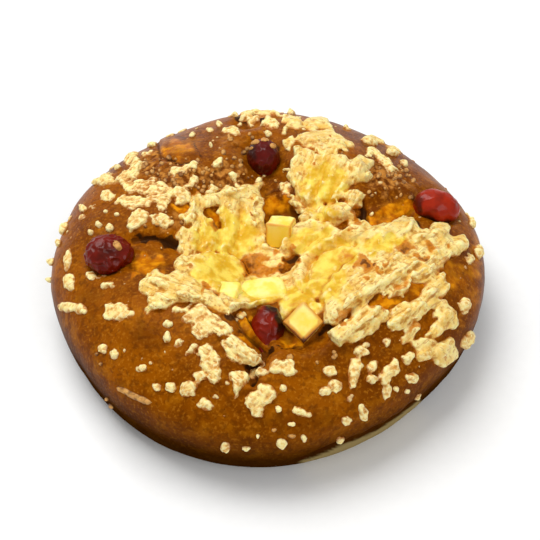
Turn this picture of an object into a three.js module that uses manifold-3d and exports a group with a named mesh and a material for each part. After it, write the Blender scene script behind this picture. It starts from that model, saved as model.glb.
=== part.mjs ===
// A round focaccia: a domed loaf with a hollow pressed into its middle, melted grated cheese over the hollow
// and the right side, four baked cherry tomatoes, four cubes of cheese, and crumbs of cheese on the crust.
// Millimetres, +Z up. The origin is the centre of the flat base, and -Y is the side nearest the viewer.
import * as THREE from "three";
import { RoundedBoxGeometry } from "three/addons/geometries/RoundedBoxGeometry.js";
import { mergeVertices } from "three/addons/utils/BufferGeometryUtils.js";
import Module from "manifold-3d";

const wasm = await Module();
wasm.setup();

// ---- driving dimensions ----
const LOAF_RADIUS = 90;
const LOAF_HEIGHT = 52; // of the dome, before the hollow is pressed in
const WAIST_HEIGHT = 22; // where the loaf is widest
const BASE_RADIUS = 78; // of the flat underside
const DOME_POWERS = [2.6, 2.2]; // of radius and of height: 2 would be a plain ellipse
const GAP = 0.35; // between two pieces that touch

// How far the plan strays from a circle: [waves round it, share of the radius, degrees of the first crest].
const OUTLINE_WAVES = [
  [2, 0.011, 90],
  [3, 0.015, 6],
  [4, 0.009, 0],
];
// Flatter and fuller sides: [degrees of the middle, degrees to where it ends, share of the radius taken off].
const FLAT_SIDES = [
  [122, 38, 0.053],
  [188, 22, -0.014],
];

// Hollows and swellings of the crust: [x, y, radius, depth]. A negative depth swells.
const DENTS = {
  hollow: [0, -8, 50, 19],
  hollow_front: [0, -26, 26, 3],
  left_pocket: [-62, -14, 15, 6],
  left_groove: [-45, -13, 16, 6],
  left_groove_end: [-32, -12, 14, 3],
  right_pocket: [70, 14, 14, 5],
  right_groove: [55, 9, 15, 5],
  right_groove_end: [41, 4, 14, 4],
  back_pocket: [-1, 41, 16, 8],
  back_groove: [1, 25, 14, 5],
  front_pocket: [0, -51, 15, 7],
  front_cleft: [-3, -62, 8, 5],
  front_cleft_end: [-6, -71, 7, 3.5],
  back_pinch: [-8, 67, 10, 4],
  front_left_lobe: [-38, -48, 30, -2.5],
  front_right_lobe: [38, -40, 30, -2.5],
  back_left_lobe: [-34, 32, 30, -2],
  back_right_lobe: [36, 38, 30, -2.5],
};

// The melted cheese is what these ovals cover together: [x, y, half length, half width, turn in degrees].
const MELT_OVALS = {
  pool: [-3, -22, 23, 20, 0],
  left_shoulder: [-25, 3, 23, 13, 12],
  left_tongue: [-30, -40, 19, 7.5, -10],
  back_fan: [24, 38, 26, 13, 105],
  back_link: [29, 12, 14, 13, 0],
  middle: [20, -20, 22, 19, 0],
  right_sheet: [50, -9, 29, 12, -6],
  right_front: [47, -35, 26, 18, 25],
  front_tongue: [36, -51, 16, 8, 12],
  right_corner: [65, -48, 12, 11, 20],
};
const MELT_GAPS = {
  right_window: [45, -43, 6, 3, 15],
  left_window: [-28, 5, 4.5, 3.5, 40],
};
const MELT_EDGE = 1.5; // thickness at the ragged rim
const MELT_MIDDLE = 3.4; // thickness in from the rim

// Tomatoes: place of the middle, half sizes, and degrees of turn about Z, then Y, then X, listed as X, Y, Z.
const TOMATOES = {
  tomato_left: { at: [-62.5, -15, 44.5], half: [9.6, 8.4, 7.6], turn: [0, 8, 10] },
  tomato_back: { at: [-1.5, 40, 47], half: [7, 8.8, 8], turn: [-15, 0, 8] },
  tomato_right: { at: [70.5, 14, 43], half: [9.8, 7.4, 7], turn: [0, 12, -8] },
  tomato_front: { at: [0.4, -52, 41.5], half: [5.8, 10, 6], turn: [18, 0, -8] },
};

// Cubes of cheese: place of the middle, sides, radius of the edges, and turns as for the tomatoes.
const CUBES = {
  cheese_cube_front: { at: [13.8, -51, 44.8], sides: [11, 11, 9.5], edge: 0.8, turn: [32, 0, 45] },
  cheese_cube_middle: { at: [5.9, 3.4, 38.6], sides: [10.5, 9.5, 11], edge: 1.4, turn: [-20, 0, -6] },
  cheese_cube_left: { at: [-15, -35.8, 42.6], sides: [10.2, 10.2, 8], edge: 1.6, turn: [-8, -10, -12] },
  cheese_cube_soft: { at: [-0.8, -30, 37.6], sides: [16, 12, 10], edge: 4.2, turn: [-6, 0, 12] },
};

// Cheese baked on the crust in large flakes: [x, y, length, width, turn in degrees].
const FLAKES = [
  [-80, -16, 18, 5, 85],
  [-77, -34, 13, 5.5, -25],
  [-56, -44, 12, 8, -12],
  [-69, -23, 5.5, 5, 0],
  [-61, -31, 5, 3, 20],
  [-62, -56, 4.6, 5, 0],
  [-57, -59, 4, 5, 0],
  [-37, -56, 10, 4, 75],
  [-46, -67, 5, 4, 30],
  [-27, -64, 6, 3, 40],
  [-40, -75, 5, 4, -60],
  [-35, -76, 5, 4.6, 0],
  [-28, -77, 6.5, 6.5, 0],
  [-22, -81, 6, 4.6, -30],
  [-21, -67, 18, 8, -70],
  [-21, -53, 19, 10, -28],
  [-9, -65, 16, 9, -35],
  [-10, -76, 10, 8, 80],
  [-1, -71, 8, 4, 10],
  [-2, -81, 13, 9, 35],
  [7, -70, 11, 6, -10],
  [13, -83, 7, 3.6, -15],
  [29, -82, 5, 4.6, 0],
  [35, -79, 9, 4.6, 80],
  [24, -70, 6.5, 6, -30],
  [24, -76, 9.5, 7.5, 30],
  [33, -69, 12, 5, 75],
  [35, -63, 5, 4.5, 0],
  [46, -66, 8, 6, 50],
  [44, -73, 10, 4, -70],
  [55, -66, 5.5, 5, 0],
  [77, -33, 6, 4.5, 60],
  [-52, 2, 10, 8, 45],
  [-43, 2, 10, 6, -15],
  [-50, 14, 22, 4.5, 8],
  [-60, 33, 18, 4.5, 45],
  [-52, 24, 20, 6, -20],
  [-67, 21, 5.5, 5, 0],
  [-59, 49, 9, 5, 45],
  [-33, 29, 14, 4, 30],
  [-20, 33, 7, 5, 0],
  [-16, 58, 10, 4, -15],
  [-23, 20, 5, 6, 0],
  [-8, 73, 9, 7, 20],
  [-1, 82, 10, 6, 0],
  [12, 66, 12, 8, -10],
  [48, 64, 10, 7, -35],
  [56, 56, 8, 5, -40],
  [50, 40, 16, 6, -50],
  [52, 28, 9, 7, 30],
  [82, -8, 8, 6, 60],
];
const FLAKE_RISE = 1.9; // how far a flake stands above the crust

// Small crumbs scattered on the bare crust.
const CRUMBS = { count: 20, seed: 7, nearest: 46, furthest: 83, smallest: 1.3, largest: 2.4, apart: 1.6 };

// ---- form of the crust ----
const radians = THREE.MathUtils.degToRad;
const smooth = (t) => THREE.MathUtils.smoothstep(t, 0, 1);

function outlineScale(angle) {
  const waved = OUTLINE_WAVES.reduce(
    (scale, [waves, share, crest]) => scale + share * Math.cos(waves * (angle - radians(crest))),
    1,
  );
  const turned = THREE.MathUtils.radToDeg(angle);
  return FLAT_SIDES.reduce((scale, [middle, reach, share]) => {
    const away = Math.abs(THREE.MathUtils.euclideanModulo(turned - middle + 180, 360) - 180);
    return scale - share * smooth(1 - away / reach);
  }, waved);
}

function dentDepth(x, y) {
  return Object.values(DENTS).reduce(
    (sum, [dx, dy, radius, depth]) => sum + depth * smooth(1 - Math.hypot(x - dx, y - dy) / radius),
    0,
  );
}

// Height of the dome at a share of the loaf's radius.
function domeHeight(share) {
  const [radial, vertical] = DOME_POWERS;
  const fall = Math.max(0, 1 - share ** radial);
  return WAIST_HEIGHT + (LOAF_HEIGHT - WAIST_HEIGHT) * fall ** (1 / vertical);
}

// The dents fade out above the waist, so that the side stays round.
function pressed(x, y, height) {
  return height - dentDepth(x, y) * smooth((height - WAIST_HEIGHT) / 8);
}

// Height of the finished crust over a point of the plan.
function crustHeight(x, y) {
  const share = Math.hypot(x, y) / (LOAF_RADIUS * outlineScale(Math.atan2(y, x)));
  return pressed(x, y, domeHeight(share));
}

function crustNormal(x, y) {
  const step = 0.5;
  return new THREE.Vector3(
    crustHeight(x - step, y) - crustHeight(x + step, y),
    crustHeight(x, y - step) - crustHeight(x, y + step),
    2 * step,
  ).normalize();
}

// ---- solids ----
function solidOf(geometry) {
  const bare = geometry.index ? geometry.toNonIndexed() : geometry.clone();
  const merged = mergeVertices(
    new THREE.BufferGeometry().setAttribute("position", bare.getAttribute("position")),
    1e-3,
  );
  return new wasm.Manifold(
    new wasm.Mesh({
      numProp: 3,
      vertProperties: merged.attributes.position.array,
      triVerts: new Uint32Array(merged.index.array),
    }),
  );
}

// The largest body of a solid, as a geometry: loose scraps are dropped.
function geometryOf(solid) {
  const largest = solid.decompose().reduce((a, b) => (b.volume() > a.volume() ? b : a));
  const mesh = largest.getMesh();
  return new THREE.BufferGeometry()
    .setAttribute("position", new THREE.BufferAttribute(new Float32Array(mesh.vertProperties), 3))
    .setIndex(new THREE.BufferAttribute(new Uint32Array(mesh.triVerts), 1));
}

// The loaf, turned from its profile. rise(x, y) lifts the upper crust, and is 0 for the bread itself.
function loafGeometry(rise = () => 0) {
  const STEPS_ROUND = 60;
  const TOP_RINGS = 18;
  const SIDE_RINGS = 4;
  const profile = [new THREE.Vector2(0, 0)];
  for (let i = 0; i < SIDE_RINGS; i++) {
    const turn = (i / SIDE_RINGS) * (Math.PI / 2);
    const bulge = (LOAF_RADIUS - BASE_RADIUS) * Math.sin(turn) ** 0.8;
    profile.push(new THREE.Vector2(BASE_RADIUS + bulge, WAIST_HEIGHT * (1 - Math.cos(turn))));
  }
  for (let i = 0; i < TOP_RINGS; i++) {
    // Rings close up towards the waist, where the dome is steep.
    const share = 1 - (i / TOP_RINGS) ** 1.45;
    profile.push(new THREE.Vector2(LOAF_RADIUS * share, domeHeight(share)));
  }
  profile.push(new THREE.Vector2(0, LOAF_HEIGHT));
  const loaf = new THREE.LatheGeometry(profile, STEPS_ROUND).rotateX(Math.PI / 2);
  const p = loaf.attributes.position;
  for (let i = 0; i < p.count; i++) {
    const scale = outlineScale(Math.atan2(p.getY(i), p.getX(i)));
    const [x, y, z] = [p.getX(i) * scale, p.getY(i) * scale, p.getZ(i)];
    p.setXYZ(i, x, y, z > WAIST_HEIGHT ? pressed(x, y, z) + rise(x, y) : z);
  }
  return loaf;
}

// Turns a piece and sets it in place.
function setInPlace(object, { at, turn }) {
  object.position.set(...at);
  object.rotation.set(...turn.map(radians));
  object.updateMatrix();
  return object;
}

// A shrunken baked tomato: an oval skin with low folds. grow widens it, to cut the pocket that it lies in.
function tomatoGeometry({ at, half }, grow = 0) {
  const skin = new THREE.IcosahedronGeometry(1, 3);
  const p = skin.attributes.position;
  const v = new THREE.Vector3();
  for (let i = 0; i < p.count; i++) {
    v.fromBufferAttribute(p, i);
    const folds = Math.sin(5 * v.x + 3 * v.z + at[0]) + Math.sin(6 * v.y - 4 * v.x + at[1]);
    v.multiplyScalar(1 + 0.022 * folds);
    p.setXYZ(i, v.x * (half[0] + grow), v.y * (half[1] + grow), v.z * (half[2] + grow));
  }
  return skin;
}

function cubeGeometry({ sides, edge }, grow = 0) {
  const [width, depth, height] = sides.map((side) => side + 2 * grow);
  return new RoundedBoxGeometry(width, depth, height, 1, edge + grow);
}

// The room that a tomato or a cube takes up in the crust and the melted cheese.
function roomOf(makeGeometry, topping) {
  const { matrix } = setInPlace(new THREE.Object3D(), topping);
  return solidOf(makeGeometry(topping, GAP).applyMatrix4(matrix));
}

// A flake or crumb lying on the crust, turned to it and partly sunk in, with an uneven rim.
function lumpGeometry([x, y, length, width, turn], rise) {
  const SUNK_SHARE = 0.25;
  const lump = new THREE.OctahedronGeometry(1, length > 15 ? 2 : 1);
  const p = lump.attributes.position;
  for (let i = 0; i < p.count; i++) {
    const reach = raggedness(Math.atan2(p.getY(i), p.getX(i)), x + y);
    p.setXYZ(i, p.getX(i) * reach, p.getY(i) * reach, p.getZ(i));
  }
  lump.scale(length / 2, width / 2, rise / (1 - SUNK_SHARE));
  lump.rotateZ(radians(turn));
  lump.applyQuaternion(
    new THREE.Quaternion().setFromUnitVectors(new THREE.Vector3(0, 0, 1), crustNormal(x, y)),
  );
  return lump.translate(x, y, crustHeight(x, y) - (SUNK_SHARE * rise) / (1 - SUNK_SHARE));
}

// A rim that wanders by a few waves.
const raggedness = (angle, seed) =>
  1 + 0.07 * Math.sin(5 * angle + seed) + 0.05 * Math.sin(9 * angle - 2 * seed);

function ovalPrism([x, y, halfLength, halfWidth, turn]) {
  const POINTS = 28;
  const shape = new THREE.Shape();
  for (let i = 0; i < POINTS; i++) {
    const angle = (i / POINTS) * 2 * Math.PI;
    const reach = raggedness(angle, x + y);
    const point = new THREE.Vector2(
      halfLength * reach * Math.cos(angle),
      halfWidth * reach * Math.sin(angle),
    ).rotateAround(new THREE.Vector2(), radians(turn));
    if (i === 0) shape.moveTo(x + point.x, y + point.y);
    else shape.lineTo(x + point.x, y + point.y);
  }
  shape.closePath();
  return new THREE.ExtrudeGeometry(shape, { depth: 2 * LOAF_HEIGHT, bevelEnabled: false });
}

// How deep a point lies inside an oval: 1 at its middle, 0 on its rim, below 0 outside.
function depthInOval(px, py, [x, y, halfLength, halfWidth, turn]) {
  const t = radians(turn);
  const along = (px - x) * Math.cos(t) + (py - y) * Math.sin(t);
  const across = (py - y) * Math.cos(t) - (px - x) * Math.sin(t);
  return 1 - Math.hypot(along / halfLength, across / halfWidth);
}

function meltThickness(x, y) {
  const inside = Math.max(...Object.values(MELT_OVALS).map((oval) => depthInOval(x, y, oval)));
  const lumps = 0.5 * Math.sin(x / 2.9 + 1) * Math.sin(y / 3.3) + 0.35 * Math.sin((x - y) / 1.9);
  return MELT_EDGE + (MELT_MIDDLE - MELT_EDGE) * smooth(inside * 2.5) + lumps * smooth(inside * 4);
}

// ---- assembly ----
const toppingRoom = wasm.Manifold.union([
  ...Object.values(TOMATOES).map((tomato) => roomOf(tomatoGeometry, tomato)),
  ...Object.values(CUBES).map((cube) => roomOf(cubeGeometry, cube)),
]);

// Small crumbs keep clear of the melted cheese, the tomatoes and each other.
function crumbPlaces() {
  const { count, seed, nearest, furthest, smallest, largest, apart } = CRUMBS;
  let state = seed;
  const random = () => {
    state = (state * 1664525 + 1013904223) % 4294967296;
    return state / 4294967296;
  };
  const taken = [
    ...FLAKES.map(([x, y, length]) => [x, y, length / 2]),
    ...Object.values(TOMATOES).map(({ at, half }) => [at[0], at[1], Math.max(...half) + 1]),
  ];
  const places = [];
  while (places.length < count) {
    const angle = random() * 2 * Math.PI;
    const reach = nearest + (furthest - nearest) * Math.sqrt(random());
    const size = smallest + (largest - smallest) * random() ** 2;
    const [x, y] = [reach * Math.cos(angle), reach * Math.sin(angle)];
    const onMelt = Object.values(MELT_OVALS).some(
      ([mx, my, l, w, turn]) => depthInOval(x, y, [mx, my, l + 7, w + 5, turn]) > 0,
    );
    if (onMelt || taken.some(([tx, ty, r]) => Math.hypot(x - tx, y - ty) < r + size + apart)) continue;
    taken.push([x, y, size]);
    places.push([x, y, 2 * size, 1.7 * size, random() * 180]);
  }
  return places;
}

// The plan of the melted cheese as an upright block, widened by a margin.
function meltPrism(margin = 0) {
  const widened = ([x, y, length, width, turn]) => ovalPrism([x, y, length + margin, width + margin, turn]);
  const ovals = Object.values(MELT_OVALS).map((oval) => solidOf(widened(oval)));
  return wasm.Manifold.union(ovals);
}

function breadSolid() {
  const lumps = [
    ...FLAKES.map((flake) => lumpGeometry(flake, FLAKE_RISE)),
    ...crumbPlaces().map((crumb) => lumpGeometry(crumb, 0.45 * crumb[2])),
  ].map(solidOf);
  // Flakes that reach under the melted cheese are cut back from it.
  const clearLumps = wasm.Manifold.union(lumps).subtract(meltPrism(1.2));
  return solidOf(loafGeometry()).add(clearLumps).subtract(toppingRoom);
}

function meltSolid() {
  const gaps = Object.values(MELT_GAPS).map((gap) => solidOf(ovalPrism(gap)));
  return solidOf(loafGeometry(meltThickness))
    .intersect(meltPrism())
    .subtract(wasm.Manifold.union(gaps))
    .subtract(solidOf(loafGeometry(() => GAP)))
    .subtract(toppingRoom);
}

function nodeMesh(name, geometry, color, roughness) {
  const mesh = new THREE.Mesh(
    geometry,
    new THREE.MeshStandardMaterial({ color, roughness, metalness: 0 }),
  );
  mesh.name = name;
  return mesh;
}

const focaccia = new THREE.Group();
focaccia.name = "focaccia";
focaccia.add(nodeMesh("bread", geometryOf(breadSolid()), 0x9a5a18, 0.45));
focaccia.add(nodeMesh("melted_cheese", geometryOf(meltSolid()), 0xf0d27a, 0.4));
for (const [name, tomato] of Object.entries(TOMATOES)) {
  focaccia.add(setInPlace(nodeMesh(name, tomatoGeometry(tomato), 0x7c1a0c, 0.25), tomato));
}
for (const [name, cube] of Object.entries(CUBES)) {
  focaccia.add(setInPlace(nodeMesh(name, cubeGeometry(cube), 0xf8e070, 0.35), cube));
}

export default focaccia;
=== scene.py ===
import math
import random

import bmesh
import bpy
import numpy as np
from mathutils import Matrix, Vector
from mathutils.bvhtree import BVHTree


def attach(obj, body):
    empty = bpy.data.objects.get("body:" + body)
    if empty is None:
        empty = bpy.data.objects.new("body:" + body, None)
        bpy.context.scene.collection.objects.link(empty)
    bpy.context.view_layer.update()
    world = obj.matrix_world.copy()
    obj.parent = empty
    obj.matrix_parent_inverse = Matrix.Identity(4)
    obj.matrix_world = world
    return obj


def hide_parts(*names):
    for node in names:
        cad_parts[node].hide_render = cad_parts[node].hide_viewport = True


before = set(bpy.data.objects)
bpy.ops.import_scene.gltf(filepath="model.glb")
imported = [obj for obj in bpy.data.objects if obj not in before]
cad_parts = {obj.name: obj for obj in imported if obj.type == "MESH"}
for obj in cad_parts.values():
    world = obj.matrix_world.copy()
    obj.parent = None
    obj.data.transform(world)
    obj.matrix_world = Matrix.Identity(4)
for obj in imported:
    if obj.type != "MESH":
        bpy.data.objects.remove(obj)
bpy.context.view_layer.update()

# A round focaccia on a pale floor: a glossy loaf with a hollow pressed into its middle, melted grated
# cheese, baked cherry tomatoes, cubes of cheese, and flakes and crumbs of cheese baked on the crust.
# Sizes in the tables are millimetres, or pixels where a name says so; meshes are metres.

MM = 0.001
chance = random.Random(11)

# ---- the camera that the photo was taken with ----
PHOTO_PIXELS = 540
CAMERA_DISTANCE = 480 * MM
CAMERA_ELEVATION = math.radians(47)
CAMERA_AIM = Vector((1.4, 0, 19.6)) * MM
FOCAL_PIXELS = 1139
SENSOR_WIDTH = 36

# ---- the loaf ----
LOAF_RADIUS = 90
LOAF_HEIGHT = 52  # of the dome, before the hollow is pressed in
WAIST_HEIGHT = 22  # where the loaf is widest
BASE_RADIUS = 78
DOME_RADIAL_POWER = 2.6
DOME_RISE_POWER = 2.2
# Waves of the outline seen from above: how many, their share of the radius, and the first crest in degrees.
OUTLINE_WAVES = [(2, 0.011, 90), (3, 0.015, 6), (4, 0.009, 0)]
# A flatter side and a fuller one: middle and reach in degrees, and the share of the radius taken off.
FLAT_SIDES = [(122, 38, 0.053), (188, 22, -0.014)]
STEPS_ROUND = 96
SIDE_RINGS = 9
TOP_RINGS = 32

# Hollows and swellings of the crust: x, y, radius, depth. A negative depth swells.
DENTS = {
    "hollow": (0, -8, 50, 19),
    "hollow_front": (0, -26, 26, 3),
    "left_pocket": (-62, -14, 15, 6),
    "left_groove": (-45, -13, 16, 6),
    "left_groove_end": (-32, -12, 14, 3),
    "right_pocket": (70, 14, 14, 5),
    "right_groove": (55, 9, 15, 5),
    "right_groove_end": (41, 4, 14, 4),
    "back_pocket": (-1, 41, 16, 8),
    "back_groove": (1, 25, 14, 5),
    "front_pocket": (0, -51, 15, 7),
    "front_cleft": (-3, -62, 8, 5),
    "front_cleft_end": (-6, -71, 7, 3.5),
    "back_pinch": (-8, 67, 10, 4),
    "front_left_lobe": (-38, -48, 30, -2.5),
    "front_right_lobe": (38, -40, 30, -2.5),
    "back_left_lobe": (-34, 32, 30, -2),
    "back_right_lobe": (36, 38, 30, -2.5),
}

# The crease where the crust ends above the pale underside, in pixels of the photo, and its depth and reach.
CREASE_PIXELS = [
    (296, 461), (313, 457), (326, 452), (338, 446), (353, 440), (367, 434), (380, 427), (400, 414),
    (418, 401),
]
CREASE_STEPS = 3  # pushes between one pixel and the next
CREASE_DEPTH = 1.3
CREASE_REACH = 3.2

# ---- marks read off the photo ----
# Ovals, in pixels of the photo: across, down, width, height, degrees of turn, and strength.
# The crust is redder at the first, moist and amber at the next, then frothy with spilt cheese; the last are
# burnt spots, and painted shade in creases and under the toppings.
RUDDY_MARKS = {
    "left_front": (146, 336, 60, 50, 0, 1),
    "front_right": (332, 354, 46, 26, 10, 1),
    "front": (300, 420, 110, 34, 0, 0.9),
    "left": (90, 300, 40, 60, 0, 0.6),
    "right_of_bubbles": (398, 190, 36, 18, -40, 1),
    "front_middle": (250, 392, 50, 22, 0, 0.8),
    "right_front": (430, 372, 40, 30, 40, 0.7),
}
MOIST_MARKS = {
    "left_groove": (150, 264, 44, 26, 0, 1),
    "left_groove_low": (136, 272, 24, 12, 0, 0.8),
    "right_groove": (398, 214, 64, 34, 15, 1),
    "right_groove_inner": (372, 222, 26, 20, 40, 0.9),
    "behind_middle_cube": (276, 206, 46, 30, 0, 1),
    "behind_middle_cube_left": (262, 216, 16, 24, 0, 0.8),
    "front_pocket": (290, 336, 44, 20, 0, 1),
    "front_pocket_left": (250, 334, 34, 14, -45, 0.9),
    "left_of_tomato": (245, 321, 12, 24, -30, 1),
    "right_of_tomato": (286, 333, 24, 20, 0, 1),
    "front_ridge": (236, 338, 46, 8, -40, 0.8),
    "right_window": (383, 302, 44, 20, 10, 1),
    "right_window_low": (345, 310, 40, 14, 30, 0.7),
    "second_window": (414, 290, 30, 22, 20, 1),
    "right_groove_far": (406, 208, 44, 22, 10, 1),
    "right_rim": (474, 262, 22, 80, -8, 0.6),
    "under_right_sheet": (452, 276, 44, 44, 0, 0.6),
    "lace_middle": (212, 216, 26, 28, 0, 1),
    "lace_left": (178, 208, 30, 14, 0, 1),
    "right_sheet_gaps": (410, 276, 90, 50, 40, 0.6),
    "toasted_slab": (178, 149, 46, 24, -4, 0.7),
    "right_side": (472, 285, 20, 60, 10, 0.5),
    "left_front": (150, 330, 60, 30, 0, 0.3),
}
BUBBLY_MARKS = {
    "back_left": (180, 176, 86, 40, 10, 1),
    "back_left_inner": (226, 178, 60, 44, 0, 1),
    "back_left_outer": (150, 168, 44, 36, 40, 0.8),
    "behind_tomato": (232, 140, 44, 36, 0, 0.6),
    "back_middle": (285, 186, 24, 24, 0, 0.9),
    "left_of_shoulder": (172, 224, 56, 26, 0, 0.7),
    "right_of_fan": (384, 178, 52, 44, -20, 0.9),
    "back_right_rim": (408, 186, 50, 20, -40, 0.7),
    "over_fan": (330, 150, 60, 22, -25, 0.8),
    "front_right": (318, 356, 46, 16, 0, 0.5),
}
CHAR_AND_SHADE_MARKS = {
    "back_rim": (241, 119, 22, 16, 0, 1.3),
    "back_rim_right": (264, 119, 14, 12, 0, 1),
    "behind_tomato": (276, 150, 12, 20, 0, 0.8),
    "left_groove": (170, 243, 28, 15, -10, 1.4),
    "left_groove_streak": (150, 238, 40, 9, 0, 1.2),
    # Painted shadow under the left tomato.
    "shadow_under_left_tomato": (110, 272, 40, 8, 0, 0.7),
    # Painted shadow under the lip of the melted cheese.
    "middle": (295, 262, 22, 14, 0, 1),
    "tunnel_right": (302, 208, 12, 18, 0, 0.8),
    "slab_foot": (180, 162, 44, 5, -6, 0.9),
    "slab_side": (199, 151, 6, 20, 15, 0.8),
    "slab_top": (176, 137, 34, 4, 8, 0.7),
    "right_groove": (410, 242, 24, 12, 0, 0.9),
    "right_groove_inner": (362, 212, 14, 34, 20, 0.8),
    # Painted shadow under the right tomato.
    "shadow_under_right_tomato": (417, 226, 12, 18, 0, 0.9),
    # Painted shade in the front cleft, its creases and ridges, and beside the tomato there.
    "front_cleft": (253, 368, 28, 12, 0, 1.5),
    "front_crease": (272, 350, 14, 9, 20, 1.2),
    "front_crease_line": (286, 345, 34, 5, 5, 1.0),
    "left_ridge_line": (247, 340, 44, 5, -52, 1.0),
    "front_cleft_low": (254, 381, 9, 14, 0, 1.3),
    "left_of_front_tomato": (228, 316, 26, 9, -35, 0.9),
    # Painted shadow beside the front cube and under the slabs.
    "beside_front_cube": (326, 328, 16, 12, 0, 0.9),
    "shadow_under_slabs": (338, 338, 26, 10, 30, 0.6),
    "bubbly_left": (206, 182, 40, 18, 0, 0.5),
    "bubbly_inner": (232, 186, 30, 16, 0, 0.6),
    "right_gaps": (405, 247, 44, 14, 0, 0.7),
}

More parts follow.
